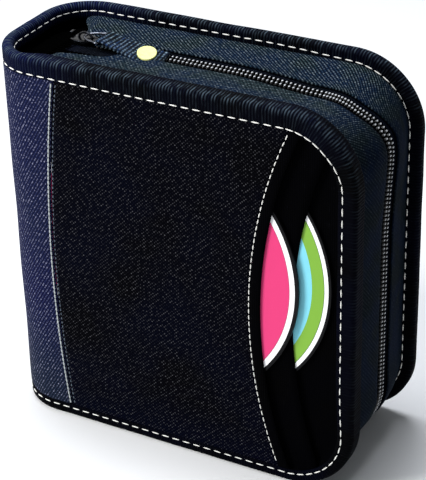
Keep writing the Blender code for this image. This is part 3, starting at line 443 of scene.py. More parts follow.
def tapeAt(z):
    return case["footTape"] + (case["tape"] - case["footTape"]) * ease(z / (60 * mm))


def raised(distance, z):
    return ease((distance - tapeAt(z) + 1.6 * mm) / (2.6 * mm))


def ripple(x, z, size, seed):
    return noise.noise(Vector((x / size, z / size, seed)))


def clothGrid(name, columns, rows, place, finish, thickness, flipped):
    deselectAll()
    bpy.ops.mesh.primitive_grid_add(x_subdivisions=columns, y_subdivisions=rows, size=2)
    piece = bpy.context.object
    piece.name = name
    mesh = piece.data
    mesh.name = name
    patterns = []
    for vertex in mesh.vertices:
        column = round((vertex.co.x + 1) / 2 * columns)
        row = round((vertex.co.y + 1) / 2 * rows)
        vertex.co, pattern = place(column, row)
        patterns.append(pattern)
    laid = mesh.uv_layers.active.data
    for loop in mesh.loops:
        laid[loop.index].uv = patterns[loop.vertex_index]
    if flipped:
        editAll()
        bpy.ops.mesh.flip_normals()
        bpy.ops.object.mode_set(mode="OBJECT")
    wall = piece.modifiers.new("wall", "SOLIDIFY")
    wall.thickness = thickness
    wall.offset = -1
    bpy.ops.object.modifier_apply(modifier=wall.name)
    bpy.ops.object.shade_smooth()
    piece.data.materials.clear()
    piece.data.materials.append(finish)
    return piece


def spread(low, high, count):
    return [low + (high - low) * i / count for i in range(count + 1)]


# Heights of a cloth's rows: close together where it dives under the binding tape
def clothRows(inset, step):
    rim = [inset, 4 * mm, 5.4 * mm, 6.2 * mm, 7 * mm, 7.8 * mm, 8.8 * mm, 10 * mm]
    middle = spread(rim[-1], height - rim[-1], round((height - 2 * rim[-1]) / step))
    return rim[:-1] + middle + [height - z for z in reversed(rim[:-1])]


def coverOf(side):
    return "front_cover" if side == front else "rear_cover"


# Thickness at the edge: the spine's, which grows to the cover's past the fold
def edgeThick(along, coverThick):
    return case["spineThick"] + (coverThick - case["spineThick"]) * ease((along - bend - 12 * mm) / (16 * mm))


def foldCloth(piece):
    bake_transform(piece)


# Spine cloth: one half of the navy cloth that wraps the spine and runs onto a cover as far as its seam
spineCloth = {"columns": 34, "step": 2.6 * mm, "inset": 1.4 * mm, "thickness": 0.6 * mm, "wave": 0.28 * mm,
              "seamDip": 0.7 * mm, "dipWidth": 2.2 * mm}
clothHeights = clothRows(spineCloth["inset"], spineCloth["step"])


def makeSpineCloth(name, side, nodes):
    columns = spineCloth["columns"]

    def place(column, row):
        z = clothHeights[row]
        last = spineSeam(z) + bend
        along = last * column / columns
        toSeam = last - along
        up = raised(min(z, height - z), z)
        sunk = case["rimSunk"] * (1 - up)
        sunk += spineCloth["seamDip"] * (1 - ease(toSeam / spineCloth["dipWidth"]))
        sunk -= spineCloth["wave"] * up * ripple(along, z, 26 * mm, side + 3)
        return onCase(side, along, z, sunk), (along * side, z)

    piece = clothGrid(name, columns, len(clothHeights) - 1, place, navyTwill, spineCloth["thickness"],
                      side == rear)
    foldCloth(piece)
    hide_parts(*nodes)


makeSpineCloth("front_spine_cloth", front, ["front_spine_wing", "spine_panel"])
makeSpineCloth("rear_spine_cloth", rear, ["rear_spine_wing", "spine_panel"])
print("spine cloth made")

# Panels of the covers
panels = {"step": 3 * mm, "inset": 1.65 * mm, "wave": 0.3 * mm, "seamDip": 0.8 * mm, "seamGap": 0.15 * mm,
          "dipWidth": 2.4 * mm, "arcDip": 0.35 * mm, "arcWidth": 1.8 * mm, "rearDip": 0.2 * mm,
          "waveSize": 34 * mm, "least": 0.4 * mm, "cover": 0.6 * mm, "lining": 0.5 * mm,
          "innerSunk": 1.5 * mm, "innerDrop": 1.05 * mm, "baseRim": 2.5 * mm, "baseSunk": 4.7 * mm}


# One panel: its columns are shares of its width, closer together at its seams
def makePanel(name, side, left, right, shares, sunkAt, finish, thickness, nodes):
    heights = clothRows(panels["inset"], panels["step"])

    def place(column, row):
        z = heights[row]
        start = left(z)
        x = start + (max(right(z), start + panels["least"]) - start) * shares[column]
        return onCase(side, x + bend, z, sunkAt(x, z)), (x * side, z)

    piece = clothGrid(name, len(shares) - 1, len(heights) - 1, place, finish, thickness, side == rear)
    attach(piece, coverOf(side))
    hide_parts(*nodes)


def seamDip(x, z):
    return panels["seamDip"] * (1 - ease((x - spineSeam(z)) / panels["dipWidth"]))


def pocketSunk(x, z):
    up = raised(edgeDistance(x, z), z)
    arcDip = panels["arcDip"] * (1 - ease(abs(x - pocketArc(z)) / panels["arcWidth"]))
    wave = panels["wave"] * ripple(x, z, panels["waveSize"], 7)
    return case["rimSunk"] * (1 - up) + (seamDip(x, z) + arcDip) * up - wave * up


def innerSunk(x, z):
    return panels["innerSunk"] + panels["innerDrop"] * raised(edgeDistance(x, z), z)


def baseSunk(x, z):
    past = ease((x - pocketArc(z) - seams["band"] - seams["stagger"]) / (2 * case["tape"]))
    rim = panels["baseRim"] + (case["rimSunk"] - panels["baseRim"]) * past
    return rim + (panels["baseSunk"] - rim) * raised(edgeDistance(x, z), z)


def toRim(curve):
    return lambda z: min(curve(z), edgeReach(z, panels["inset"]))


nearSeam = [0, 0.01, 0.02, 0.035]
makePanel("front_outer_pocket", front, lambda z: spineSeam(z) + panels["seamGap"], toRim(pocketArc),
          nearSeam + spread(0.07, 0.93, 26) + [0.965, 0.985, 1.0], pocketSunk, ballisticNylon,
          panels["cover"], ["outer_pocket"])
makePanel("front_pocket_hem", front, toRim(pocketArc), toRim(lambda z: pocketArc(z) + seams["band"]),
          spread(0, 1, 3), pocketSunk, plainPolyester, panels["cover"], ["outer_pocket_band"])
makePanel("front_inner_pocket", front, lambda z: case["spineRadius"],
          toRim(lambda z: pocketArc(z) + seams["band"] + seams["stagger"]), spread(0, 1, 36), innerSunk,
          plainPolyester, panels["lining"], ["inner_pocket"])
makePanel("front_pocket_back", front, lambda z: case["spineRadius"], lambda z: edgeReach(z, panels["inset"]),
          spread(0, 1, 48), baseSunk, plainPolyester, panels["lining"], ["front_base_panel"])
print("front panels made")


def rearSunk(x, z):
    up = raised(edgeDistance(x, z), z)
    wave = panels["wave"] * ripple(x, z, panels["waveSize"], 17)
    return case["rimSunk"] * (1 - up) + (seamDip(x, z) + panels["rearDip"]) * up - wave * up


makePanel("rear_outer_panel", rear, lambda z: spineSeam(z) + panels["seamGap"],
          lambda z: edgeReach(z, panels["inset"]),
          nearSeam + spread(0.07, 0.9, 30) + [0.925, 0.94, 0.955, 0.97, 0.985, 1.0], rearSunk,
          ballisticNylon, panels["cover"], ["rear_panel"])
print("rear panel made")

# Binding tape: folded over the edges of cover and spine, one long piece for each half of the case
binding = {"round": 1.9 * mm, "thickness": 0.55 * mm, "step": 2.0 * mm, "waver": 0.22 * mm}


def makeBinding(name, side, coverThick, nodes):
    columns = round(wholeRim / binding["step"])
    turn = binding["round"]
    section = [("lip", 1.0), ("lip", 0.6), ("lip", 0.25)] + [("outer", i / 5) for i in range(6)]
    section += [("flat", 0.33), ("flat", 0.67)] + [("inner", i / 5) for i in range(6)]
    section += [("back", 0.25), ("back", 0.6), ("back", 1.0)]

    def place(column, row):
        run = wholeRim * column / columns
        along, z = rimAt(run)[:2]
        lip = tapeAt(z)
        thick = edgeThick(along, coverThick)
        kind, share = section[row]
        arc = turn * math.pi / 2
        if kind == "lip":
            inset, sunk, passed = turn + (lip - turn) * share, 0.0, (lip - turn) * (1 - share)
        elif kind == "outer":
            angle = share * math.pi / 2
            inset, sunk = turn * (1 - math.sin(angle)), turn * (1 - math.cos(angle))
            passed = lip - turn + arc * share
        elif kind == "flat":
            inset, sunk = 0.0, turn + (thick - 2 * turn) * share
            passed = lip - turn + arc + (thick - 2 * turn) * share
        elif kind == "inner":
            angle = share * math.pi / 2
            inset, sunk = turn * (1 - math.cos(angle)), thick - turn * (1 - math.sin(angle))
            passed = lip - turn + arc + thick - 2 * turn + arc * share
        else:
            inset, sunk = turn + (lip - 1 * mm - turn) * share, thick
            passed = lip - turn + 2 * arc + thick - 2 * turn + (lip - turn) * share
        inset += binding["waver"] * noise.noise(Vector((run / (22 * mm), side * 5.0, passed / (20 * mm))))
        inset = max(inset, 0.0)
        return onRim(side, run, inset, sunk), (run, passed)

    piece = clothGrid(name, columns, len(section) - 1, place, grosgrain, binding["thickness"], side == rear)
    foldCloth(piece)
    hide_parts(*nodes)


makeBinding("front_edge_tape", front, case["frontThick"], ["front_binding", "spine_top_binding"])
makeBinding("rear_edge_tape", rear, case["rearThick"], ["rear_binding", "spine_bottom_binding"])
print("binding tapes made")

# Gussets: cloth walls from each cover to the zip, slack enough to wrinkle
gusset = {"opening": 5 * mm, "thickness": 0.7 * mm, "step": 2.4 * mm, "rows": 20, "wrinkle": 0.5 * mm,
          "clear": 0.1 * mm, "endRun": 28 * mm}
# The free edges by the spine, as pairs of share of the way from cover to zip and distance from the spine
frontWall = {"rootInset": 5.4 * mm, "zipInset": 3.3 * mm, "freeEdge": (
    (0, 12), (0.3, 15), (0.42, 18), (0.56, 22), (0.65, 28), (0.7, 37), (0.78, 42), (1, 46))}
rearWall = {"rootInset": 5.2 * mm, "zipInset": 2.8 * mm, "freeEdge": (
    (0, 13), (0.12, 9.8), (0.35, 8.8), (0.6, 10.8), (0.85, 15), (1, 20))}


def freeEdge(wall, share):
    pairs = wall["freeEdge"]
    for (low, start), (high, end) in zip(pairs, pairs[1:]):
        if share <= high:
            return (start + (end - start) * (share - low) / (high - low)) * mm
    return pairs[-1][1] * mm


# How far the zip sinks below its straight line: some along the top and more at the upper corner. Past that it
# comes back, and it swells a little beyond the line where the fore-edge starts
sag = {"top": 2.4 * mm, "corner": 2.8 * mm, "cornerFrom": 94 * mm, "cornerLength": 44 * mm,
       "endFrom": 150 * mm, "endLength": 24 * mm, "swell": 1.8 * mm, "swellReach": 46 * mm, "swellPlace": 0.8}


def slack(run):
    past = run - bend
    sunk = sag["top"] + sag["corner"] * ease((past - sag["cornerFrom"]) / sag["cornerLength"])
    sunk *= 1 - ease((past - sag["endFrom"]) / sag["endLength"])
    away = min(abs(run - topRim - sag["swellPlace"] * quarterRim) / sag["swellReach"], 1.0)
    return sunk - sag["swell"] * (1 - ease(away))


def makeGusset(name, side, coverThick, zipDepth, wall, nodes):
    rows = gusset["rows"]
    columns = round((wholeRim - 2 * (gusset["endRun"] + bend)) / gusset["step"])
    root = coverThick + gusset["clear"]

    def place(column, row):
        share = row / rows
        first = freeEdge(wall, share) + bend
        run = first + (wholeRim - 2 * first) * column / columns
        sunk = root + (zipDepth - gusset["opening"] - root) * share
        swell = math.sin(share * math.pi / 2)
        inset = wall["rootInset"] + (wall["zipInset"] - wall["rootInset"]) * swell
        inset += slack(run) * ease(share * 1.2)
        loose = math.sin(math.pi * min(share + 0.08, 1.0))
        wrinkle = ripple(run, sunk * 0.7, 17 * mm, side * 9) + 0.5 * ripple(run, sunk, 7 * mm, side * 4)
        inset += gusset["wrinkle"] * (0.35 + 0.65 * loose) * wrinkle
        return onRim(side, run, inset, sunk), (run, sunk)

    piece = clothGrid(name, columns, rows, place, slateTwill, gusset["thickness"], side == rear)
    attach(piece, coverOf(side))
    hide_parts(*nodes)


rearZipDepth = depth - case["zipDepth"]
makeGusset("front_gusset_wall", front, case["frontThick"], case["zipDepth"], frontWall, ["front_gusset"])
makeGusset("rear_gusset_wall", rear, case["rearThick"], rearZipDepth, rearWall, ["rear_gusset"])
print("gussets made")

# Zip: tapes, teeth and stops
zipper = {"tapeLap": 4.5 * mm, "tapeThickness": 0.5 * mm, "tapeProud": 0.25 * mm, "slit": 3.2 * mm,
          "columns": 170, "start": 18 * mm, "rowOffset": 1.4 * mm, "pitch": 1.85 * mm, "toothWide": 2.3 * mm,
          "toothLong": 1.3 * mm, "toothHigh": 2.1 * mm, "crown": 0.8, "frontStart": 32.6 * mm,
          "rearStart": 20 * mm}


def makeZipTape(name, side, zipDepth, nodes):
    columns = zipper["columns"]
    depths = spread(zipDepth - gusset["opening"] - zipper["tapeLap"], zipDepth - zipper["slit"], 4)
    first = zipper["start"] + bend

    def place(column, row):
        run = first + (wholeRim - 2 * first) * column / columns
        inset = case["zipInset"] - zipper["tapeProud"] + slack(run)
        return onRim(side, run, inset, depths[row]), (run, depths[row])

    piece = clothGrid(name, columns, 4, place, zipTapeCloth, zipper["tapeThickness"], side == rear)
    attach(piece, coverOf(side))
    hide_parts(*nodes)


makeZipTape("front_tape_strip", front, case["zipDepth"], ["front_zip_tape"])
makeZipTape("rear_tape_strip", rear, rearZipDepth, ["rear_zip_tape"])


# A small rounded shape, such as a tooth or a stitch, modelled once
def roundShape(rings, size):
    deselectAll()
    bpy.ops.mesh.primitive_uv_sphere_add(segments=8, ring_count=rings, radius=1)
    shape = bpy.context.object
    editAll()
    bpy.ops.transform.resize(value=[length / 2 for length in size])
    bpy.ops.object.mode_set(mode="OBJECT")
    return shape


# Copies one small shape to many places and joins them: each copy keeps its own faces
def repeatShape(name, shape, places, *finishList):
    mesh = shape.data
    points = [vertex.co.copy() for vertex in mesh.vertices]
    faces = [tuple(face.vertices) for face in mesh.polygons]
    finishes = [face.material_index for face in mesh.polygons]
    allPoints = []
    allFaces = []
    for place in places:
        first = len(allPoints)
        allPoints += [place @ point for point in points]
        allFaces += [tuple(first + i for i in face) for face in faces]
    joined = bpy.data.meshes.new(name)
    joined.from_pydata(allPoints, [], allFaces)
    for finish in finishList:
        joined.materials.append(finish)
    joined.polygons.foreach_set("material_index", finishes * len(places))
    piece = bpy.data.objects.new(name, joined)
    bpy.context.scene.collection.objects.link(piece)
    pick(piece)
    bpy.ops.object.shade_smooth()
    bpy.data.objects.remove(shape)
    return piece


# Position and axes of something laid along the rim: x along it, y towards the other face, z outwards
def rimFrame(side, run, inset, sunk):
    here = onRim(side, run, inset, sunk)
    ahead = (onRim(side, run + 0.2 * mm, inset, sunk) - here).normalized()
    across = (onRim(side, run, inset, sunk + 0.2 * mm) - here).normalized()
    out = ahead.cross(across).normalized() * (1 if side == front else -1)
    placed = Matrix((ahead, across, out)).transposed().to_4x4()
    placed.translation = here
    return placed


def makeTeeth(name, side, zipDepth, firstX, shift, nodes):
    tooth = roundShape(5, (zipper["toothLong"], zipper["toothWide"], zipper["toothHigh"]))
    # The faces on top of each tooth take the painted highlight
    for face in tooth.data.polygons:
        face.material_index = 1 if face.normal.z > zipper["crown"] else 0
    first = firstX + bend
    count = int((wholeRim - first - zipper["start"] - bend) / zipper["pitch"])
    places = []
    for number in range(count):
        run = first + (number + shift) * zipper["pitch"]
        places.append(rimFrame(side, run, case["zipInset"] + slack(run), zipDepth - zipper["rowOffset"]))
    piece = repeatShape(name, tooth, places, coilPlastic, coilPaintedHighlight)
    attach(piece, coverOf(side))
    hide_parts(*nodes)


# The front row starts past the slider, and the rear row lies half a tooth further on
makeTeeth("front_coil", front, case["zipDepth"], zipper["frontStart"], 0.0, ["front_zip_teeth"])
makeTeeth("rear_coil", rear, rearZipDepth, zipper["rearStart"], 0.5, ["rear_zip_teeth"])
print("zip made")

# Slider: two cast plates, pointed at the nose, whose lips turn towards each other, with a web between them and
# a bridge for the ring
slider = {"x": case["left"] + 26 * mm, "y": case["zipDepth"] - case["halfDepth"],
          "z": height - case["zipInset"] - sag["top"], "halfLength": 5.5 * mm, "halfWidth": 3.95 * mm,
          "gap": 1.35 * mm, "wall": 0.9 * mm, "lip": 0.8 * mm, "slot": 0.6 * mm, "web": 0.22 * mm,
          "nose": 0.5, "noseFrom": 0.55, "tailTo": 0.25, "tailRound": 0.4, "soften": 0.28 * mm, "sharp": 35,
          "hoop": 1 * mm, "wire": 1.0 * mm, "bridgeSpan": 6.4 * mm, "bridgeRise": 2.35 * mm,
          "bridgeWide": 1.3, "sunk": 0.3 * mm, "rooted": 0.4 * mm}


def castBlock(low, high):
    deselectAll()
    bpy.ops.mesh.primitive_cube_add(size=1)
    block = bpy.context.object
    editAll()
    bpy.ops.transform.resize(value=[h - l for l, h in zip(low, high)])
    bpy.ops.transform.translate(value=[(h + l) / 2 for l, h in zip(low, high)])
    bpy.ops.mesh.subdivide(number_cuts=5)
    bpy.ops.object.mode_set(mode="OBJECT")
    return block


def softenEdges(piece, width):
    soften = piece.modifiers.new("soften", "BEVEL")
    soften.width = width
    soften.segments = 2
    soften.limit_method = "ANGLE"
    bpy.ops.object.modifier_apply(modifier=soften.name)


# Draws the plates in towards the nose and rounds their tail, seen from above
def taperPlan(block):
    half = slider["halfLength"]
    for vertex in block.data.vertices:
        share = (vertex.co.x + half) / (2 * half)
        narrow = 1 - (1 - slider["nose"]) * ease((share - slider["noseFrom"]) / (1 - slider["noseFrom"]))
        tail = math.sqrt(max(1 - (max(slider["tailTo"] - share, 0.0) / slider["tailRound"]) ** 2, 0.0))
        vertex.co.y *= narrow * tail


def joinPieces(name, parts):
    deselectAll()
    for part in parts:
        part.select_set(True)
    bpy.context.view_layer.objects.active = parts[0]
    bpy.ops.object.join()
    piece = bpy.context.object
    piece.name = name
    piece.data.name = name
    return piece


def makeSlider():
    half = slider["halfLength"]
    wide = slider["halfWidth"]
    gap = slider["gap"]
    top = gap + slider["wall"]
    parts = []
    for up in (1, -1):
        low, high = sorted((up * gap, up * top))
        parts.append(castBlock((-half, -wide, low), (half, wide, high)))
        for side in (1, -1):
            inner, outer = sorted((side * (wide - slider["lip"]), side * wide))
            low, high = sorted((up * slider["slot"], up * (gap + 0.2 * mm)))
            parts.append(castBlock((-half * 0.8, inner, low), (half * 0.55, outer, high)))
    parts.append(castBlock((-half * 0.1, -slider["web"], -gap), (half * 0.9, slider["web"], gap)))
    for block in parts:
        taperPlan(block)
        pick(block)
        softenEdges(block, slider["soften"])
    deselectAll()
    bpy.ops.mesh.primitive_torus_add(major_radius=slider["hoop"], minor_radius=slider["wire"] / 2,
                                     major_segments=32, minor_segments=10)
    bridge = bpy.context.object
    for vertex in bridge.data.vertices:
        away = math.hypot(vertex.co.x, vertex.co.y)
        over = away - slider["hoop"]
        ahead, up = vertex.co.x / away, vertex.co.y / away
        x = ahead * (slider["bridgeSpan"] / 2 + over)
        z = top - slider["sunk"] + up * (slider["bridgeRise"] + slider["sunk"] + over)
        vertex.co = (x, vertex.co.z * slider["bridgeWide"], max(z, top - slider["rooted"]))
    parts.append(bridge)
    piece = joinPieces("cast_slider", parts)
    editAll()
    bpy.ops.transform.translate(value=(slider["x"], slider["y"], slider["z"]))
    bpy.ops.mesh.normals_make_consistent(inside=False)
    bpy.ops.object.mode_set(mode="OBJECT")
    bpy.ops.object.shade_smooth_by_angle(angle=math.radians(slider["sharp"]))
    piece.data.materials.append(enamelledZinc)
    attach(piece, "slider")
    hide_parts("zip_slider")


makeSlider()

# Pull: a wire ring, a strip of webbing folded round it and sewn, and a rubber dot moulded on the webbing
pull = {"hoop": 4 * mm, "square": 0.55, "wire": 1.0 * mm, "ringLength": 9.0 * mm,
        "ringNarrow": 2.2 * mm, "ringWide": 6.3 * mm, "ringZ": 3.3 * mm, "tabLength": 30.9 * mm,
        "tabHalf": 5.5 * mm, "tabColumns": 150, "tabRows": 26, "loop": 1.7 * mm,
        "floor": -1.7 * mm, "endLift": 0.6 * mm, "endEase": 6 * mm, "topLayer": 0.5 * mm,
        "cloth": 0.8 * mm, "droop": 2.5 * mm, "roll": 1.4 * mm, "sway": 4.0 * mm, "ribPitch": 1.9 * mm,
        "ribHeight": 0.22 * mm, "ribLean": 0.1, "selvedge": 0.9 * mm, "selvedgeDrop": 0.35 * mm,
        "fray": 0.35 * mm, "endFray": 0.25 * mm, "dotFrom": 21.2 * mm, "dotRadius": 4.2 * mm,
        "dotThick": 0.75 * mm, "dotSoften": 0.12 * mm,
        "dotSteps": ((0.55 * mm, 0.0), (0.35 * mm, -0.18 * mm), (1.6 * mm, 0.12 * mm))}
pullZ = slider["z"] + pull["ringZ"]


def makeRing():
    deselectAll()
    bpy.ops.mesh.primitive_torus_add(major_radius=pull["hoop"], minor_radius=pull["wire"] / 2,
                                     major_segments=72, minor_segments=12)
    ring = bpy.context.object
    ring.name = "wire_ring"
    ring.data.name = "wire_ring"
    half = pull["ringLength"] / 2
    for vertex in ring.data.vertices:
        away = math.hypot(vertex.co.x, vertex.co.y)
        over = away - pull["hoop"]
        ahead, across = vertex.co.x / away, vertex.co.y / away
        wide = pull["ringNarrow"] + (pull["ringWide"] - pull["ringNarrow"]) * ease((ahead + 1) / 2)
        x = math.copysign(abs(ahead) ** pull["square"], ahead) * half + ahead * over
        y = math.copysign(abs(across) ** pull["square"], across) * wide + across * over
        vertex.co = (slider["x"] + half + x, slider["y"] + y, pullZ + vertex.co.z)
    bpy.ops.object.shade_smooth()
    ring.data.materials.append(platedWire)
    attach(ring, "pull")
    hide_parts("pull_ring")


makeRing()


# The webbing's free end sinks and leans a little to the front, as its own weight and the cloth below let it
def slump(x, y, z):
    share = ease((x - slider["x"] - pull["ringLength"]) / pull["tabLength"])
    tilt = pull["roll"] * (slider["y"] - y) / pull["tabHalf"]
    return Vector((x, y - pull["sway"] * share, z - (pull["droop"] + tilt) * share))


# The strip's outer face seen from the side: from the end of its lower layer, round the ring and back on top
def tabPath(passed):
    long = pull["tabLength"] - pull["loop"]
    arc = math.pi * pull["loop"]
    barX = slider["x"] + pull["ringLength"]
    if passed < long:
        lift = pull["endLift"] * ease((long - passed) / pull["endEase"])
        return barX + long - passed, pullZ + pull["floor"] + lift, 0.0, -1.0
    if passed < long + arc:
        angle = (passed - long) / pull["loop"]
        return (barX - pull["loop"] * math.sin(angle), pullZ - pull["loop"] * math.cos(angle),
                -math.sin(angle), -math.cos(angle))
    run = passed - long - arc
    down = (pull["loop"] - pull["topLayer"]) * ease(run / pull["endEase"])
    return barX + run, pullZ + pull["loop"] - down, 0.0, 1.0


def makeTab():
    columns = pull["tabColumns"]
    rows = pull["tabRows"]
    whole = 2 * (pull["tabLength"] - pull["loop"]) + math.pi * pull["loop"]

    def place(column, row):
        passed = whole * column / columns
        across = (2 * row / rows - 1) * pull["tabHalf"]
        x, z, outX, outZ = tabPath(passed)
        if row in (0, rows):
            across += pull["fray"] * noise.noise(Vector((passed / (1.1 * mm), row, 3.0)))
        if column in (0, columns):
            x += pull["endFray"] * noise.noise(Vector((across / (1.5 * mm), 7.0, 0.0)))
        ribs = (passed + across * pull["ribLean"]) / pull["ribPitch"]
        rib = pull["ribHeight"] * (0.5 + 0.5 * math.cos(2 * math.pi * ribs)) - pull["ribHeight"]
        edge = pull["selvedgeDrop"] * ease((abs(across) - pull["tabHalf"]) / pull["selvedge"] + 1)
        here = slump(x + outX * (rib - edge), slider["y"] + across, z + outZ * (rib - edge))
        return here, (passed, across)

    tab = clothGrid("webbing_tab", columns, rows, place, pullWebbing, pull["cloth"], False)
    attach(tab, "pull")
    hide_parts("pull_tab")


makeTab()


def makeDot():
    deselectAll()
    bpy.ops.mesh.primitive_cylinder_add(vertices=48, radius=pull["dotRadius"], depth=pull["dotThick"])
    dot = bpy.context.object
    dot.name = "rubber_dot"
    dot.data.name = "rubber_dot"
    bpy.ops.object.mode_set(mode="EDIT")
    bpy.ops.mesh.select_all(action="DESELECT")
    bpy.ops.mesh.select_mode(type="FACE")
    bpy.ops.object.mode_set(mode="OBJECT")
    for face in dot.data.polygons:
        face.select = face.normal.z > 0.9
    bpy.ops.object.mode_set(mode="EDIT")
    for inward, rise in pull["dotSteps"]:
        bpy.ops.mesh.inset(thickness=inward, depth=rise)
    bpy.ops.object.mode_set(mode="OBJECT")
    softenEdges(dot, pull["dotSoften"])
    x = slider["x"] + pull["ringLength"] + pull["dotFrom"]
    for vertex in dot.data.vertices:
        z = pullZ + pull["topLayer"] + pull["dotThick"] / 2 + vertex.co.z
        vertex.co = slump(x + vertex.co.x, slider["y"] + vertex.co.y, z)
    bpy.ops.object.shade_smooth_by_angle(angle=math.radians(slider["sharp"]))
    dot.data.materials.append(paleRubber)
    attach(dot, "pull")
    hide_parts("pull_dot")


makeDot()
print("slider and pull made")

# Stitches: rounded lengths of thread lying half in the cloth
stitches = {"edgePitch": 4.9 * mm, "edgeLong": 3.6 * mm, "edgeWide": 0.54 * mm, "seamPitch": 2.05 * mm,
            "seamLong": 2.2 * mm, "seamWide": 0.75 * mm, "arcPitch": 2.9 * mm, "arcLong": 2.4 * mm,
            "arcWide": 0.5 * mm, "thick": 0.5 * mm, "edgeInset": 6.9 * mm, "spineInset": 6.1 * mm,
            "footInset": 4.2 * mm, "insideInset": 3.2 * mm, "insideDrop": 1.6 * mm, "foreDrop": 1.2 * mm,
            "seamBack": 0.9 * mm, "seamSunk": 0.1 * mm, "underAhead": 1.0 * mm, "underSunk": 0.45 * mm,
            "arcBack": 0.2 * mm, "seamEnds": (6.5 * mm, height - 8.5 * mm), "arcEnds": (8 * mm, 156 * mm),
            "proud": 0.05 * mm, "look": 0.4 * mm}


# The stitches lie near the tape's border: closer to the edge by the spine, and closest along the foot
def edgeInset(run):
    z = rimAt(run)[1]
    top = stitches["spineInset"] + (stitches["edgeInset"] - stitches["spineInset"]) * ease(run / (95 * mm))
    top -= stitches["foreDrop"] * ease((run - 178 * mm) / (20 * mm))
    return stitches["footInset"] + (top - stitches["footInset"]) * ease((z - 4 * mm) / (50 * mm))


def insideInset(run):
    return stitches["insideInset"] + stitches["insideDrop"] * ease((run - 120 * mm) / (50 * mm))


# Axes of something laid on a face of the case: x along the line, z out of the face
def faceFrame(here, ahead, side, along, out=1.0):
    forward = (ahead - here).normalized()
    normal = onCase(side, along, here.z, -1 * mm) - onCase(side, along, here.z, 0)
    normal = normal.normalized() * out
    across = normal.cross(forward).normalized()
    placed = Matrix((forward, across, normal)).transposed().to_4x4()
    placed.translation = here
    return placed


def edgeStitches(name, side, insetAt, sunkAt, out):
    places = []
    count = int(wholeRim / stitches["edgePitch"])
    for number in range(count):
        run = (number + 0.5) * wholeRim / count
        along, z, inAlong, inZ = rimAt(run)
        here = onRim(side, run, insetAt(run), sunkAt(run))
        ahead = onRim(side, run + stitches["look"], insetAt(run + stitches["look"]), sunkAt(run))
        placed = faceFrame(here, ahead, side, along + inAlong * insetAt(run), out)
        tilt = 0.08 * noise.noise(Vector((number * 1.7, side * 3.0, 0.0)))
        places.append(placed @ Matrix.Rotation(tilt, 4, "Z"))
    thread = roundShape(6, (stitches["edgeLong"], stitches["edgeWide"], stitches["thick"]))
    foldCloth(repeatShape(name, thread, places, sewingThread))


for side, name, thick in ((front, "front", case["frontThick"]), (rear, "rear", case["rearThick"])):
    edgeStitches(f"{name}_edge_stitches", side, edgeInset, lambda run: -stitches["proud"], 1.0)
    edgeStitches(f"{name}_inside_stitches", side, insideInset,
                 lambda run, thick=thick: stitches["proud"] + edgeThick(rimAt(run)[0], thick), -1.0)


def lineStitches(name, side, curve, sunkAt, ends, size, finish):
    low, high = ends
    pitch, long, wide = size
    places = []
    count = int((high - low) / pitch)
    for number in range(count):
        z = low + (number + 0.5) * (high - low) / count
        x = curve(z)
        nextX = curve(z + 0.5 * mm)
        here = onCase(side, x + bend, z, sunkAt(x, z))
        ahead = onCase(side, nextX + bend, z + 0.5 * mm, sunkAt(nextX, z + 0.5 * mm))
        tilt = 0.1 * noise.noise(Vector((number * 1.3, side * 2.0, x * 40)))
        places.append(faceFrame(here, ahead, side, x + bend) @ Matrix.Rotation(tilt, 4, "Z"))
    thread = roundShape(6, (long, wide, stitches["thick"]))
    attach(repeatShape(name, thread, places, finish), coverOf(side))


seamSize = (stitches["seamPitch"], stitches["seamLong"], stitches["seamWide"])
underSize = (stitches["seamPitch"], stitches["seamLong"] * 0.6, stitches["seamWide"] * 0.8)
arcSize = (stitches["arcPitch"], stitches["arcLong"], stitches["arcWide"])
for side, name in ((front, "front"), (rear, "rear")):
    lineStitches(f"{name}_seam_stitches", side, lambda z: spineSeam(z) - stitches["seamBack"],
                 lambda x, z: stitches["seamSunk"], stitches["seamEnds"], seamSize, seamThread)
    # The stitches in the seam's dip take the thread's painted shade
    lineStitches(f"{name}_seam_under_stitches", side, lambda z: spineSeam(z) + stitches["underAhead"],
                 lambda x, z: stitches["underSunk"], stitches["seamEnds"], underSize, seamThreadInShade)
lineStitches("pocket_arc_stitches", front, lambda z: pocketArc(z) - stitches["arcBack"],
             lambda x, z: pocketSunk(x, z) - stitches["proud"], stitches["arcEnds"], arcSize, sewingThread)
print("stitches made")

# Finishes of the CAD nodes that show as they are
kept = {
    "first_disc": pinkDisc, "second_disc": cyanDisc, "front_board": greyBoard, "rear_board": greyBoard,
    "spine_board": greyBoard, "front_lining": liningCloth, "rear_lining": liningCloth,
    "spine_lining": liningCloth, "page_strip": liningCloth, "sleeve_pages": sleeveFilm,
    "front_zip_bottom_stop": enamelledZinc, "rear_zip_top_stop": enamelledZinc,
    "rear_zip_bottom_stop": enamelledZinc,
}
for node, finish in kept.items():
    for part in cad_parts[node].material_slots:
        part.material = finish
print("kept nodes finished")

# Floor, a matt sheet in near white, and a pale room whose own light is soft and a little blue
floorLook = {"size": 6.0, "drop": 0.05 * mm, "colour": "#f4f4f4"}
room = {"colour": (0.9, 0.95, 1.0, 1.0), "strength": 0.16}
deselectAll()
bpy.ops.mesh.primitive_plane_add(size=floorLook["size"], location=(0, 0, -floorLook["drop"]))
floor = bpy.context.object
floor.name = "pale_floor"
floor.data.materials.append(startMaterial("paperSweepWhite", 0.9, colour=floorLook["colour"])[0])

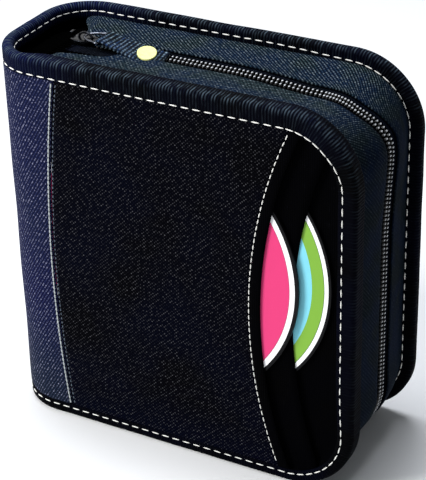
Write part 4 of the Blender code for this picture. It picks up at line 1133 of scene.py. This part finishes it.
world = bpy.data.worlds.new("pale_studio")
bpy.context.scene.world = world
world.use_nodes = True
worldTree = world.node_tree
worldTree.nodes.clear()
rays = addNode(worldTree, "LightPath")
seen = rays.outputs["Is Camera Ray"]
for kind in ("Is Glossy Ray", "Is Transmission Ray"):
    seen = addNode(worldTree, "Math", links={0: seen, 1: rays.outputs[kind]}, operation="MAXIMUM").outputs[0]
soft = addNode(worldTree, "Background", {"Color": room["colour"], "Strength": room["strength"]})
white = addNode(worldTree, "Background", {"Color": (1.0, 1.0, 1.0, 1.0), "Strength": 1.0})
chosen = addNode(worldTree, "MixShader",
                 links={0: seen, 1: soft.outputs[0], 2: white.outputs[0]})
addNode(worldTree, "OutputWorld", links={0: chosen.outputs[0]})

# Lights and camera
lamps = {
    "keyFrontLeft": {"place": (-0.75, -0.85, 0.75), "size": 0.5, "power": 18.0, "colour": "#ffffff"},
    "overhead": {"place": (-0.1, 0.1, 1.15), "size": 0.5, "power": 12.0, "colour": "#f4f8ff"},
}
aim = Vector((0, 0, 0.08))
for name, lamp in lamps.items():
    bpy.ops.object.light_add(type="AREA", location=lamp["place"])
    light = bpy.context.object
    light.name = name
    light.data.size = lamp["size"]
    light.data.energy = lamp["power"]
    light.data.color = linearColour(lamp["colour"])[:3]
    light.rotation_euler = (aim - Vector(lamp["place"])).to_track_quat("-Z", "Y").to_euler()

view = {"place": (0.30155, -0.53638, 0.42873), "azimuth": 29.11, "elevation": 29.374, "roll": -1.593,
        "lens": 129.36}
bpy.ops.object.camera_add(location=view["place"])
camera = bpy.context.object
camera.data.lens = view["lens"]
camera.data.sensor_width = 36
camera.data.sensor_fit = "AUTO"
camera.matrix_world = (Matrix.Translation(view["place"])
                       @ Matrix.Rotation(math.radians(view["azimuth"]), 4, "Z")
                       @ Matrix.Rotation(math.radians(90 - view["elevation"]), 4, "X")
                       @ Matrix.Rotation(math.radians(view["roll"]), 4, "Z"))
bpy.context.scene.camera = camera
bpy.context.scene.view_settings.view_transform = "Standard"
print("stage, lights and camera set")
